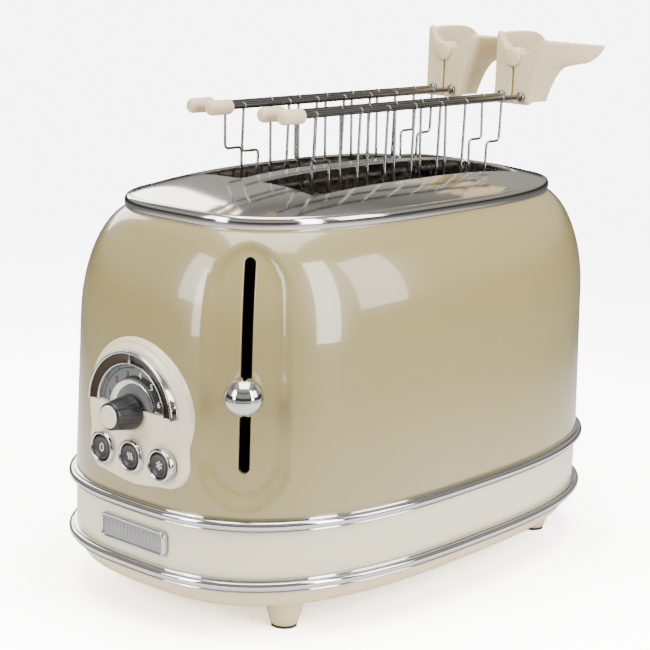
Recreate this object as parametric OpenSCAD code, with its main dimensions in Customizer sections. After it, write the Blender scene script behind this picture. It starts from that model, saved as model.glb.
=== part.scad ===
// Two-slot pop-up toaster with sandwich tongs.
// X runs along the bread slots and the controls face -X. Z is up, and z = 0 is the worktop.

/* [Housing] */
// Overall length over the chrome rings
ring_l = 310; // [290:1:330]
// Overall width over the chrome rings
ring_w = 196; // [186:1:206]
// Roundness of the plan outline: 2 is an ellipse, larger is squarer
plan_n = 2.8; // [2.6:0.05:3]
// Height of the seam between the painted shell and the top plate
seam_z = 195; // [194:0.5:196]
// Rise of the top plate's crown above its crease
dome_h = 11; // [9:0.5:12]
// Wall thickness of the painted shell
shell_t = 1.2; // [1:0.1:1.6]

/* [Bread slots] */
// Left end of both slots
slot_x0 = -75; // [-77:0.5:-72]
// Right end of both slots
slot_x1 = 91.5; // [91:0.5:93]
// Half of the strip between the slots
slot_in = 5.8; // [5:0.1:6]
// Distance from the centre plane to each slot's outer edge
slot_out = 43.4; // [42.6:0.1:44]

/* [Lift] */
// Height of the lever ball at rest
ball_z = 122; // [118:0.5:124]
// Radius of the lever ball
ball_r = 9.2; // [8:0.1:9.6]
// Width of the lever's slot
lever_slot_w = 5.2; // [5:0.1:6]

/* [Tongs] */
// Height of the tongs' rods
rod_z = 243; // [242:0.5:245]
// Diameter of the tongs' rods
rod_d = 3; // [2.6:0.1:3.2]
// Diameter of the cage wires
wire_d = 1.4; // [1.1:0.1:1.6]

/* [Hidden] */

// Colours
beige = [0.73, 0.68, 0.56];
ivory = [0.88, 0.87, 0.82];
cream = [0.87, 0.83, 0.75];
chrome = [0.85, 0.86, 0.88];
steel = [0.66, 0.67, 0.69];
mica = [0.72, 0.66, 0.55];
black = [0.08, 0.08, 0.09];

// Plan outline
plan_steps = 72;
half_l = ring_l / 2;
half_w = ring_w / 2;

// Heights of the base
floor_z = 15;
floor_t = 1.4;
pan_top = 25.4;
lower_ring_top = 31.8;
upper_ring_bottom = 55.2;
shell_z0 = 61.6;

// The shell leans in slowly, then turns over an elliptical shoulder
shell_inset = 3.7;
shell_lean = 0.027;
shoulder_z = 141;
shoulder_rise = 54.6;
shoulder_inset = 27;
shell_levels = [61.6, 66, 72, 80, 95, 110, 125, 141, 155, 165, 174, 181, 187, 191, 193.6];

// Lever slot, on the corner between the control end and the front
lever_t = 211.1;
lever_z0 = 82;
lever_z1 = 182.6;
recess_depth = 3.6;
recess_half = 25;
recess_flat = 9;

// Top plate
rim_inset = 27.5;
crease_inset = 30;
crease_z = seam_z + 5.4;
plate_t = 1.2;
lip_t = 1;
lip_h = 6;
dome_steps = 7;

// Toasting wells
slot_mid = (slot_in + slot_out) / 2;
well_x0 = -82;
well_x1 = 98;
plate_gauge = 1;
well_top = 192;
guard_in = 7.4;
guard_out = 41.8;
guard_d = 1.5;
card_z0 = 68;
card_z1 = 188;
card_t = 0.8;
card_in = 2.4;
card_out = 46.6;
reflector_y = 52;
chassis_half_w = 56;
leg_w = 8;
tray_top = 24.5;
gland_y = 62;
gland_z = 20.6;
foot_x = 104;
foot_y = 58;

// Carriage
arm_z = 104;
arm_h = 8;
arm_t = 3;
arm_gap = 8;
prong_d = 2.4;
prong_l = 26;
prong_count = 9;
guide_x = -95;
guide_y = 14;
guide_r = 2.5;
running_gap = 0.05;
tab_x0 = -104;
tab_z0 = 30;
tab_z1 = 187;
tab_t = 1.5;
ball_inset = 6 - ball_r;

// Controls
panel_y = -1.5;
panel_t = 2.8;
dial_z = 105;
dial_r = 29.5;
dial_ring = 3;
dial_drop = -1.5;
button_z = 83;
button_pitch = 20.2;
button_r = 5.8;
bezel_r = 8.4;
dial_back_x = -150.4;
board_x = -126;
knob_x = dial_back_x - 3.4;
knob_l = 14;
cap_r = 5.5;
badge_z = 43.5;
badge_x = -150.8;
panel_levels = [66, 72, 80, 95, 110, 125, 141];

// Tongs
tong_y = 24.3;
rod_gap = 6.6;
handle_x = 108;
cap_x = -87;
pivot_h = 21.5;
cage_bottom = 114.6;
jog_z = 220;
upper_wire_x0 = -62;
lower_wire_x0 = -50;
upper_wire_x1 = 90;
lower_wire_x1 = 79;
jaw_lean = 1.5;
cage_wires = 7;
jog_d = wire_d + 0.3;
sill_d = 2;
thumb_posts = [
    [[2, 10.3, -2.6], [2, 19.2, 30.6]],
    [[17, 10.3, -2.6], [14, 22, 31.8]],
    [[23, 14, 14], [24, 25, 31.8]],
    [[31, 25.5, 20], [36, 28.6, 30.5]],
    [[41, 30, 26], [43, 30.6, 28.6]]
];
grip_posts = [
    [[2, 10.3, -2.6], [2, 10.3, 34]],
    [[17, 10.3, -2.6], [22, 10.3, 35]],
    [[24, 10.3, 12], [37, 10.3, 33]],
    [[32, 10.3, 24], [44, 10.3, 27.5]]
];
lug_r = 5.4;
lug_t = 3.8;
pin_r = 1.5;

// ---------- Outline and skins ----------

function signed_pow(v, e) = sign(v) * pow(abs(v), e);

function smooth(u) = let (c = max(0, min(1, u))) c * c * (3 - 2 * c);

// A point of the plan outline, moved inwards along its normal
function plan_point(t, inset) =
    let (
        x = half_l * signed_pow(cos(t), 2 / plan_n),
        y = half_w * signed_pow(sin(t), 2 / plan_n),
        gx = signed_pow(x / half_l, plan_n - 1) / half_l,
        gy = signed_pow(y / half_w, plan_n - 1) / half_w,
        g = norm([gx, gy])
    )
    [x - inset * gx / g, y - inset * gy / g];

function plan_normal(t) = plan_point(t, 0) - plan_point(t, 1);

// How far the shell's outside lies inside the rings' outline at height z
function shell_inset_at(z) =
    let (lean = shell_inset + shell_lean * (z - shell_z0), u = max(0, z - shoulder_z) / shoulder_rise)
    lean + shoulder_inset * (1 - sqrt(1 - u * u));

// Depth of the soft recess round the lever's slot
function recess_at(t, z) =
    let (
        s = norm(plan_point(t, 4) - plan_point(lever_t, 4)),
        side = smooth((recess_half - s) / (recess_half - recess_flat)),
        low = smooth((z - shell_z0) / 16),
        high = smooth((seam_z - 4 - z) / 12)
    )
    recess_depth * side * low * high;

function skin_point(t, p, recessed) =
    let (d = p[0] + (recessed ? recess_at(t, p[1]) : 0), s = len(p) > 2 ? p[2] : 1)
    [for (c = plan_point(t, d)) c * s];

// Sweeps a profile of [inset, z, scale] points round the plan outline. A closed profile makes
// a ring. An open one starts at the bottom and ends at the top, and both ends are capped.
module skin(profile, closed = false, recessed = false, i0 = 0, i1 = plan_steps) {
    m = len(profile);
    whole = i1 - i0 == plan_steps;
    n = whole ? plan_steps : i1 - i0 + 1;
    spans = whole ? n : n - 1;
    rows = closed ? m : m - 1;
    points = [
        for (p = profile, i = [0:n - 1])
            let (q = skin_point(360 * (i + i0) / plan_steps, p, recessed)) [q[0], q[1], p[1]]
    ];
    walls = [
        for (j = [0:rows - 1], i = [0:spans - 1], half = [0, 1])
            let (a = j * n, b = ((j + 1) % m) * n, k = (i + 1) % n)
            half == 0 ? [a + i, b + i, b + k] : [a + i, b + k, a + k]
    ];
    floor_cap = [for (i = [0:n - 1]) i];
    roof_cap = [for (i = [n - 1:-1:0]) (m - 1) * n + i];
    end_a = [for (j = [m - 1:-1:0]) j * n];
    end_b = [for (j = [0:m - 1]) j * n + n - 1];
    faces = concat(walls, closed ? [] : [floor_cap, roof_cap], whole ? [] : [end_a, end_b]);
    polyhedron(points, faces, convexity = 8);
}

// A box between two corners
module span(a, b) {
    translate([min(a[0], b[0]), min(a[1], b[1]), min(a[2], b[2])])
        cube([abs(b[0] - a[0]), abs(b[1] - a[1]), abs(b[2] - a[2])]);
}

// A round bar between two points
module bar(a, b, d, fn = 16) {
    v = b - a;
    translate(a)
        rotate([0, acos(v[2] / norm(v)), atan2(v[1], v[0])])
            cylinder(d = d, h = norm(v), $fn = fn);
}

// A cylinder along +X from x
module rod_x(x, y, z, r, l, fn = 32) {
    translate([x, y, z]) rotate([0, 90, 0]) cylinder(r = r, h = l, $fn = fn);
}

// ---------- Housing ----------

// Inner point for an outer level: the wall is measured square to the shell
function shell_inner(z) = [shell_inset_at(z) + shell_t, z - (z > shoulder_z ? shell_t : 0)];

module shell_wall() {
    outer = [for (z = shell_levels) [shell_inset_at(z), z]];
    top = [[shell_inset_at(seam_z) - 0.3, seam_z], [32, seam_z], [32, seam_z - shell_t]];
    inner = [for (i = [len(shell_levels) - 1:-1:0]) shell_inner(shell_levels[i])];
    skin(concat(outer, top, inner), closed = true, recessed = true);
}

// The lever's slot, cut square to the corner
module lever_slot() {
    p = plan_point(lever_t, 0);
    n = plan_normal(lever_t);
    r = lever_slot_w / 2;
    translate([p[0], p[1], 0])
        rotate([0, 0, atan2(n[1], n[0])]) {
            span([-30, -r, lever_z0 + r], [10, r, lever_z1 - r]);
            for (z = [lever_z0 + r, lever_z1 - r])
                rod_x(-30, 0, z, r, 40);
        }
}

module control_holes() {
    rod_x(-160, panel_y, dial_z, 4, 20);
    for (k = [-1:1])
        rod_x(-160, panel_y + k * button_pitch, button_z, button_r + 0.6, 20);
}

module body_shell() {
    color(beige)
        difference() {
            shell_wall();
            lever_slot();
            control_holes();
        }
}

function dome_z(s) = crease_z + dome_h * (1 - pow(s, 3));

module plate_skin(drop) {
    rim = [
        [rim_inset, seam_z], [rim_inset - 0.6, seam_z + 2], [rim_inset - 0.2, seam_z + 4],
        [rim_inset + 1, seam_z + 5.2], [crease_inset, crease_z]
    ];
    dome = [for (k = [1:dome_steps]) let (s = 1 - k / (dome_steps + 0.5)) [crease_inset, dome_z(s), s]];
    under = [
        for (k = [dome_steps:-1:1])
            let (s = 1 - k / (dome_steps + 0.5)) [crease_inset, dome_z(s) - drop, s]
    ];
    hem = [[crease_inset, crease_z - drop], [rim_inset + 1.4, seam_z + 3.4], [rim_inset + 1.2, seam_z]];
    skin(concat(under, hem, rim, dome));
}

module dome_body() {
    levels = [for (k = [0:dome_steps]) let (s = 1 - k / (dome_steps + 0.5)) [crease_inset, dome_z(s), s]];
    skin(concat([[crease_inset, seam_z]], levels));
}

module slot_box(side, grow, z0, z1) {
    span([slot_x0 - grow, side * (slot_in - grow), z0], [slot_x1 + grow, side * (slot_out + grow), z1]);
}

module top_plate() {
    color(steel)
        difference() {
            union() {
                plate_skin(plate_t);
                intersection() {
                    translate([0, 0, -0.3]) dome_body();
                    union() for (side = [-1, 1])
                        slot_box(side, lip_t, crease_z - lip_h / 3, 230);
                }
            }
            for (side = [-1, 1])
                slot_box(side, 0, 190, 230);
        }
}

// Rounded bead of one chrome ring
module trim_ring(z0, z1) {
    mid = (z0 + z1) / 2;
    h = (z1 - z0) / 2;
    bead = [for (a = [-75:25:75]) [3.6 - 3.6 * cos(a), mid + h * sin(a) * 0.98]];
    color(chrome)
        skin(concat([[4, z0]], bead, [[4, z1], [6.6, z1], [6.6, z0]]), closed = true);
}

module upper_trim_ring() { trim_ring(upper_ring_bottom, shell_z0); }
module lower_trim_ring() { trim_ring(pan_top, lower_ring_top); }

module base_band() {
    color(ivory)
        skin([
            [4.2, lower_ring_top], [4.2, upper_ring_bottom],
            [5.8, upper_ring_bottom], [5.8, lower_ring_top]
        ], closed = true);
}

// Where the crumb tray leaves the base
module tray_window(grow) {
    span([120, -45 - grow, 16.8 - grow], [170, 45 + grow, 23.4 + grow]);
}

module pan_skin() {
    skin([
        [12.4, floor_z], [9.6, floor_z + 1.4], [7.2, floor_z + 4.2], [5.2, pan_top],
        [7.8, pan_top], [9.2, floor_z + 4.4], [12.4, floor_z + floor_t]
    ]);
}

module base_pan() {
    color(cream)
        difference() {
            pan_skin();
            tray_window(0.4);
            rod_x(110, gland_y, gland_z, 4, 40);
            for (x = [-1, 1], y = [-1, 1])
                translate([x * foot_x, y * foot_y, floor_z - 1]) cylinder(r = 1.6, h = 5, $fn = 24);
            for (x = [-50:20:70])
                span([x, -26, floor_z - 1], [x + 4, 26, floor_z + 5]);
        }
}

module feet() {
    color(cream)
        for (x = [-1, 1], y = [-1, 1])
            translate([x * foot_x, y * foot_y, 0])
                difference() {
                    translate([0, 0, 1.2]) cylinder(r1 = 6.6, r2 = 11.2, h = floor_z - 1.2, $fn = 48);
                    cylinder(r = 1.6, h = floor_z + 1, $fn = 24);
                    cylinder(r = 3.2, h = 4, $fn = 24);
                }
}

module foot_pads() {
    color(black)
        for (x = [-1, 1], y = [-1, 1])
            translate([x * foot_x, y * foot_y, 0]) cylinder(r = 6.4, h = 1.2, $fn = 48);
}

module base_screws() {
    color(steel)
        for (x = [-1, 1], y = [-1, 1])
            translate([x * foot_x, y * foot_y, 0]) {
                translate([0, 0, 2.2]) cylinder(r = 3, h = 1.8, $fn = 24);
                translate([0, 0, 4]) cylinder(r = 1.5, h = floor_z - 1, $fn = 24);
            }
}

// ---------- Toasting wells ----------

module chassis_end(x) {
    span([x, -chassis_half_w, tray_top + 0.5], [x + plate_gauge, chassis_half_w, well_top]);
    for (side = [-1, 1])
        span(
            [x, side * (chassis_half_w - leg_w), floor_z + floor_t],
            [x + plate_gauge, side * chassis_half_w, tray_top + 0.5]
        );
}

module chassis_left() {
    x = well_x0 - plate_gauge;
    color(steel)
        difference() {
            union() {
                chassis_end(x);
                for (z = [tab_z0, tab_z1])
                    span([tab_x0, -20, z], [x, 20, z + tab_t]);
            }
            for (side = [-1, 1])
                span(
                    [x - 1, side * slot_mid - arm_gap / 2, arm_z - 32],
                    [x + 2, side * slot_mid + arm_gap / 2, arm_z + arm_h + 60]
                );
        }
}

module chassis_right() { color(steel) chassis_end(well_x1); }

module reflector(side) {
    color(steel)
        span([well_x0, side * reflector_y, 36], [well_x1, side * (reflector_y + 0.8), well_top]);
}

module reflector_front() { reflector(-1); }
module reflector_rear() { reflector(1); }

module centre_divider() {
    color(steel) span([well_x0, -0.4, 44], [well_x1, 0.4, well_top]);
}

// One mica card on each side of each well
module heater_cards() {
    color(mica)
        for (y = [-card_out - card_t, -card_in - card_t, card_in, card_out])
            span([well_x0, y, card_z0], [well_x1, y + card_t, card_z1]);
}

// Flat resistance ribbon, wound across the face of each card that looks at the bread
module heater_windings() {
    ribbon = 0.3;
    faces = [-card_out, -card_in - card_t - ribbon, card_in + card_t, card_out - ribbon];
    color([0.5, 0.46, 0.42])
        for (y = faces, k = [0:9])
            span([well_x0 + 8, y, 76 + 11 * k], [well_x1 - 8, y + ribbon, 77.6 + 11 * k]);
}

module bread_guard(y) {
    for (z = [72, 132, 197])
        rod_x(well_x0, y, z, guard_d / 2, well_x1 - well_x0, 16);
    for (k = [0:9])
        translate([-66 + 16.6 * k, y, 66]) cylinder(d = guard_d, h = 133, $fn = 16);
}

module bread_guards(side) {
    color(steel) {
        bread_guard(side * guard_in);
        bread_guard(side * guard_out);
    }
}

module bread_guards_front() { bread_guards(-1); }
module bread_guards_rear() { bread_guards(1); }

// ---------- Carriage ----------

module guide_rods() {
    color(chrome)
        for (side = [-1, 1])
            translate([guide_x, side * guide_y, tab_z0 + tab_t])
                cylinder(r = guide_r, h = tab_z1 - tab_z0 - tab_t, $fn = 32);
}

module carriage_bracket() {
    n = plan_normal(lever_t);
    e = plan_point(lever_t, 34);
    w = [-n[1], n[0]] * 5;
    color(steel)
        difference() {
            translate([0, 0, arm_z])
                linear_extrude(arm_h)
                    union() {
                        translate([-101, -34]) square([12, 68]);
                        polygon([e - w, e + w, [-92, -33], [-92, -20]]);
                    }
            for (side = [-1, 1])
                translate([guide_x, side * guide_y, arm_z - 1])
                    cylinder(r = guide_r + running_gap, h = arm_h + 2, $fn = 32);
        }
}

// One rack under a slice: an arm through the chassis wall and cross prongs
module bread_lift(side) {
    y = side * slot_mid;
    x1 = 84;
    color(steel) {
        span([-89, y - arm_t / 2, arm_z], [x1, y + arm_t / 2, arm_z + arm_h]);
        for (k = [0:prong_count - 1])
            translate([-68 + 18.4 * k, y - prong_l / 2, arm_z + arm_h])
                rotate([-90, 0, 0]) cylinder(d = prong_d, h = prong_l, $fn = 16);
    }
}

module bread_lift_front() { bread_lift(-1); }
module bread_lift_rear() { bread_lift(1); }

module armature_plate() {
    color(steel) span([-101, -8, arm_z - 2], [-89, 8, arm_z]);
}

module latch_magnet() {
    color(black) {
        span([-102, -9, tab_z0 + tab_t], [-88, 9, tab_z0 + 8]);
        translate([guide_x, 0, tab_z0 + 8]) cylinder(r = 8, h = 28, $fn = 48);
    }
    color(steel)
        translate([guide_x, 0, tab_z0 + 36]) cylinder(r = 3.5, h = 7, $fn = 32);
}

// Helix of round wire as one closed skin
module coil(r, wire, h, turns) {
    per_turn = 12;
    sides = 5;
    n = turns * per_turn;
    points = [
        for (i = [0:n], j = [0:sides - 1])
            let (a = 360 * i / per_turn, b = 360 * j / sides, c = r + wire * cos(b))
            [c * cos(a), c * sin(a), h * i / n + wire * sin(b)]
    ];
    walls = [
        for (i = [0:n - 1], j = [0:sides - 1], half = [0, 1])
            let (a = i * sides, b = (i + 1) * sides, k = (j + 1) % sides)
            half == 0 ? [a + j, b + j, b + k] : [a + j, b + k, a + k]
    ];
    caps = [[for (j = [0:sides - 1]) j], [for (j = [sides - 1:-1:0]) n * sides + j]];
    polyhedron(points, concat(walls, caps), convexity = 10);
}

module carriage_spring() {
    z0 = arm_z + arm_h + 0.8;
    color(steel)
        translate([guide_x, 0, z0]) coil(4.5, 0.6, tab_z1 - 0.8 - z0, 11);
}

// The bar that carries the ball through the lever's slot
module lever_stem() {
    p = plan_point(lever_t, 0);
    n = plan_normal(lever_t);
    color(steel)
        translate([p[0], p[1], ball_z])
            rotate([0, 0, atan2(n[1], n[0])]) {
                span([-34, -1.6, -18], [-30.8, 1.6, 3]);
                span([-30.8, -1.6, -3], [-6, 1.6, 3]);
            }
}

module lever_ball() {
    p = plan_point(lever_t, ball_inset + 0.6);
    n = plan_normal(lever_t);
    color(chrome)
        difference() {
            translate([p[0], p[1], ball_z]) {
                sphere(r = ball_r, $fn = 64);
                rotate([0, 0, atan2(n[1], n[0])])
                    translate([-ball_r - 1.5, 0, 0]) rotate([0, 90, 0]) cylinder(r = 4, h = 4, $fn = 32);
            }
            translate([plan_point(lever_t, 0)[0], plan_point(lever_t, 0)[1], ball_z])
                rotate([0, 0, atan2(n[1], n[0])])
                    span([-20, -1.6, -3], [-6, 1.6, 3]);
        }
}

// ---------- Controls ----------

// Layer that lies on the shell's control end
module panel_layer() {
    outer = [for (z = panel_levels) [shell_inset_at(z) - panel_t, z]];
    inner = [for (i = [len(panel_levels) - 1:-1:0]) let (z = panel_levels[i]) [shell_inset_at(z), z]];
    skin(concat(outer, inner), closed = true, i0 = 31, i1 = 41);
}

// Keyhole-like outline: a round arch over a wide lobe for the buttons
module panel_outline() {
    offset(r = -6)
        offset(r = 12)
            offset(r = -6)
                union() {
                    translate([0, dial_z]) circle(r = 35.5, $fn = 96);
                    for (side = [-1, 1])
                        translate([side * 22, button_z]) circle(r = 12, $fn = 48);
                    translate([-22, button_z - 12]) square([44, 24]);
                }
}

// Half disc with its flat side down
module half_disc(r, drop) {
    intersection() {
        circle(r = r, $fn = 96);
        translate([-r, -drop]) square([2 * r, r + drop]);
    }
}

// Extrudes a shape drawn in (y, z) along +X
module end_extrude(x, l) {
    translate([x, panel_y, 0])
        rotate([90, 0, 90]) linear_extrude(l) children();
}

module control_panel() {
    color(ivory)
        difference() {
            intersection() {
                panel_layer();
                end_extrude(-170, 40) panel_outline();
            }
            end_extrude(-171, 42)
                translate([0, dial_z]) half_disc(dial_r, dial_drop);
            rod_x(-160, panel_y, dial_z, 4, 20);
            for (k = [-1:1])
                rod_x(-160, panel_y + k * button_pitch, button_z, bezel_r, 20);
        }
}

module dial_frame() {
    color(chrome) {
        end_extrude(dial_back_x - 5.4, 5.4)
            translate([0, dial_z]) difference() {
                half_disc(dial_r, dial_drop);
                half_disc(dial_r - dial_ring, dial_drop + 1);
            }
        end_extrude(dial_back_x - 2.6, 2.6)
            translate([0, dial_z]) difference() {
                translate([-dial_r + dial_ring, -dial_drop]) square([2 * (dial_r - dial_ring), 1.4]);
                circle(r = 4, $fn = 48);
            }
        end_extrude(dial_back_x - 3.4, 1.6)
            translate([0, dial_z]) difference() {
                half_disc(15.5, dial_drop - 1.4);
                half_disc(13.5, dial_drop + 1);
            }
    }
}

module dial_face() {
    color([0.45, 0.45, 0.46])
        end_extrude(dial_back_x - 1.8, 1.8)
            translate([0, dial_z]) difference() {
                half_disc(dial_r - dial_ring, dial_drop - 1.4);
                circle(r = 4, $fn = 48);
            }
}

module browning_knob() {
    color(black)
        difference() {
            union() {
                translate([knob_x - knob_l, panel_y, dial_z])
                    rotate([0, 90, 0]) cylinder(r1 = 6.5, r2 = 8.6, h = knob_l, $fn = 64);
                rod_x(knob_x, panel_y, dial_z, 3, board_x - 3.3 - knob_x);
            }
            rod_x(knob_x - knob_l - 1, panel_y, dial_z, cap_r, 2);
        }
}

module knob_cap() {
    color(ivory)
        rod_x(knob_x - knob_l - 0.8, panel_y, dial_z, cap_r, 1.8, 64);
}

module potentiometer() {
    color(steel)
        difference() {
            rod_x(board_x - 10, panel_y, dial_z, 8.5, 10, 48);
            rod_x(board_x - 11, panel_y, dial_z, 3 + running_gap, 8);
        }
}

module control_board() {
    color([0.16, 0.36, 0.2])
        span([board_x, -31, 70], [board_x + 1.6, 31, 132]);
    color(black)
        for (k = [-1:1])
            span(
                [board_x - 3, panel_y + k * button_pitch - 3, button_z - 3],
                [board_x, panel_y + k * button_pitch + 3, button_z + 3]
            );
}

module button_bezels() {
    color(chrome)
        for (k = [-1:1])
            translate([dial_back_x - 4.8, panel_y + k * button_pitch, button_z])
                rotate([0, 90, 0])
                    difference() {
                        union() {
                            cylinder(r1 = bezel_r - 1, r2 = bezel_r, h = 1, $fn = 64);
                            translate([0, 0, 1]) cylinder(r = bezel_r, h = 3.1, $fn = 64);
                        }
                        translate([0, 0, -1]) cylinder(r = button_r + 0.4, h = 7, $fn = 64);
                    }
}

// Push button k with its stem reaching the switch
module push_button(k) {
    y = panel_y + k * button_pitch;
    color(black) {
        rod_x(-156.2, y, button_z, button_r, 5.4, 48);
        rod_x(-150.8, y, button_z, 2.4, 19.2);
    }
}

module cancel_button() { push_button(1); }
module reheat_button() { push_button(0); }
module defrost_button() { push_button(-1); }

module badge_outline(w, h, r) {
    for (y = [-1, 1], z = [-1, 1])
        translate([y * (w / 2 - r), z * (h / 2 - r)]) circle(r = r, $fn = 32);
    square([w - 2 * r, h], center = true);
    square([w, h - 2 * r], center = true);
}

module badge_frame() {
    color(chrome)
        end_extrude(badge_x - 2.4, 2.4)
            translate([0, badge_z]) difference() {
                badge_outline(45, 13, 3);
                badge_outline(41.4, 9.4, 1.6);
            }
}

module badge_inset() {
    color(steel)
        end_extrude(badge_x - 1.6, 1.6)
            translate([0, badge_z]) badge_outline(41.4, 9.4, 1.6);
}

// ---------- Base fittings ----------

module crumb_tray() {
    color(steel) {
        span([-74, -44, 17], [139, 44, 17.8]);
        for (side = [-1, 1])
            span([-74, side * 44, 17.8], [139, side * 43, 22.4]);
        span([-74, -43, 17.8], [-73, 43, 22.4]);
    }
    color(cream)
        intersection() {
            pan_front();
            tray_window(0);
        }
}

// Solid slice of the base's right end, which the tray's front is cut from
module pan_front() {
    difference() {
        skin([[9.6, floor_z + 1.4], [7.2, floor_z + 4.2], [5.2, pan_top]]);
        span([-200, -120, 0], [139, 120, 40]);
        span([139, -42, 18.4], [144.6, 42, 21.6]);
    }
}

module cord_gland() {
    color(black)
        difference() {
            union() {
                rod_x(120, gland_y, gland_z, 4, 20);
                rod_x(140, gland_y, gland_z, 6, 3);
            }
            rod_x(119, gland_y, gland_z, 3, 30);
        }
}

// ---------- Tongs ----------
// Each tong is drawn with its own centre plane at y = 0 and its rods at z = 0, and each of
// its two halves leans or flares away from that plane. side is -1 on the thumb half.

module place_tong(k) {
    translate([0, (k == 0 ? -1 : 1) * tong_y, rod_z]) children();
}

// Turns a cage about its rod so that it closes towards the bottom
module lean_in(side) {
    translate([0, side * rod_gap, 0]) rotate([-side * jaw_lean, 0, 0]) children();
}

// Rod along the top of one half, from its end cap into its handle
module jaw_rod(side) {
    color(chrome)
        rod_x(cap_x + 4, side * rod_gap, 0, rod_d / 2, handle_x - cap_x - 0.2, 24);
}

// Grid of wires that hangs from the rod: the two outer wires step inwards above the slot
module cage(side) {
    z1 = jog_z - rod_z;
    z0 = cage_bottom - rod_z;
    pitch = (lower_wire_x1 - lower_wire_x0) / (cage_wires - 1);
    top = 0.05 - rod_d / 2;
    color(chrome)
        lean_in(side) {
            for (k = [1:cage_wires - 2])
                bar([lower_wire_x0 + k * pitch, 0, z0], [lower_wire_x0 + k * pitch, 0, top], wire_d);
            for (x = [[lower_wire_x0, upper_wire_x0], [lower_wire_x1, upper_wire_x1]]) {
                bar([x[0], 0, z0], [x[0], 0, z1], wire_d);
                bar([x[0] - sign(x[1] - x[0]) * 0.8, 0, z1], [x[1] + sign(x[1] - x[0]) * 0.8, 0, z1], jog_d);
                bar([x[1], 0, z1], [x[1], 0, top], wire_d);
            }
            bar([lower_wire_x0 - 1, 0, z0], [lower_wire_x1 + 1, 0, z0], sill_d);
        }
}

// Rounded end cap on a rod's free end
module rod_cap(side) {
    r = 3.75;
    l = 15;
    color(cream)
        translate([cap_x, side * rod_gap, 0])
            rotate([0, 90, 0])
                difference() {
                    rotate_extrude($fn = 48)
                        polygon(concat(
                            [[0, 0]],
                            [for (a = [0:15:90]) [r - 2 + 2 * sin(a), 2 - 2 * cos(a)]],
                            [for (a = [0:15:90]) [r - 1 + cos(a), l - 1 + sin(a)]],
                            [[0, l]]
                        ));
                    translate([0, 0, 4]) cylinder(d = rod_d, h = l, $fn = 24);
                }
}

// One rounded post of a handle's wall, from a low point to a high point
module post(p) {
    for (q = p)
        translate(q) sphere(r = 1.9, $fn = 16);
}

module handle_wall(posts) {
    for (k = [0:len(posts) - 2])
        hull() {
            post(posts[k]);
            post(posts[k + 1]);
        }
}

function flip_y(side, p) = [p[0], side * p[1], p[2]];

module face_plate(side, outline, t) {
    rotate([90, 0, 90]) linear_extrude(t) polygon([for (p = outline) [side * p[0], p[1]]]);
}

module thumb_handle() {
    color(cream)
        translate([handle_x, 0, 0])
            difference() {
                union() {
                    face_plate(-1, [
                        [0.4, -4.5], [11, -4.5], [13.6, 8], [21.1, 31], [19.2, 32.6], [8, 25],
                        [5, 25], [0.4, 18]
                    ], lug_t);
                    rod_x(0, 0, pivot_h, lug_r, lug_t, 48);
                    handle_wall([for (p = thumb_posts) [flip_y(-1, p[0]), flip_y(-1, p[1])]]);
                }
                rod_x(-1, 0, pivot_h, pin_r + running_gap, 10);
                rod_x(-3, -rod_gap, 0, rod_d / 2, 6.8, 24);
            }
}

module grip_handle() {
    color(cream)
        translate([handle_x, 0, 0])
            difference() {
                union() {
                    face_plate(1, [
                        [0.4, -4.5], [11, -4.5], [12.2, -2.6], [12.2, 34], [10.3, 35.9], [4.6, 26],
                        [0.4, 18]
                    ], lug_t);
                    translate([lug_t, 0, 0])
                        face_plate(1, [[0.4, 12], [10.3, 8], [10.3, 30], [4, 25], [0.4, 22]], lug_t + 0.6);
                    rod_x(lug_t + 0.4, 0, pivot_h, lug_r, lug_t + 0.2, 48);
                    handle_wall([for (p = grip_posts) [flip_y(1, p[0]), flip_y(1, p[1])]]);
                }
                rod_x(-1, 0, pivot_h, lug_r + 0.4, lug_t + 1.4, 48);
                rod_x(-1, 0, pivot_h, pin_r + running_gap, 12);
                rod_x(-3, rod_gap, 0, rod_d / 2, 6.8, 24);
            }
}

// Pivot pin with a round head in front and a retaining washer behind
module pivot_pin() {
    color(cream)
        translate([handle_x, 0, 0]) {
            rod_x(-2, 0, pivot_h, lug_r, 1.7, 48);
            rod_x(-0.3, 0, pivot_h, pin_r, 9.1);
            rod_x(8.8, 0, pivot_h, 3.2, 1.2);
        }
}

body_shell();
top_plate();
upper_trim_ring();
base_band();
lower_trim_ring();
base_pan();
feet();
foot_pads();
base_screws();
chassis_left();
chassis_right();
reflector_front();
reflector_rear();
centre_divider();
heater_cards();
heater_windings();
bread_guards_front();
bread_guards_rear();
guide_rods();
carriage_spring();
latch_magnet();
control_board();
potentiometer();
control_panel();
dial_frame();
dial_face();
browning_knob();
knob_cap();
button_bezels();
cancel_button();
reheat_button();
defrost_button();
badge_frame();
badge_inset();
crumb_tray();
cord_gland();
carriage_bracket();
bread_lift_front();
bread_lift_rear();
armature_plate();
lever_stem();
lever_ball();
place_tong(0) pivot_pin();  // tong_front_pin
place_tong(0) thumb_handle();  // tong_front_thumb_handle
place_tong(0) grip_handle();  // tong_front_grip_handle
place_tong(0) jaw_rod(-1);  // tong_front_thumb_rod
place_tong(0) jaw_rod(1);  // tong_front_grip_rod
place_tong(0) cage(-1);  // tong_front_thumb_cage
place_tong(0) cage(1);  // tong_front_grip_cage
place_tong(0) rod_cap(-1);  // tong_front_thumb_cap
place_tong(0) rod_cap(1);  // tong_front_grip_cap
place_tong(1) pivot_pin();  // tong_rear_pin
place_tong(1) thumb_handle();  // tong_rear_thumb_handle
place_tong(1) grip_handle();  // tong_rear_grip_handle
place_tong(1) jaw_rod(-1);  // tong_rear_thumb_rod
place_tong(1) jaw_rod(1);  // tong_rear_grip_rod
place_tong(1) cage(-1);  // tong_rear_thumb_cage
place_tong(1) cage(1);  // tong_rear_grip_cage
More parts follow.
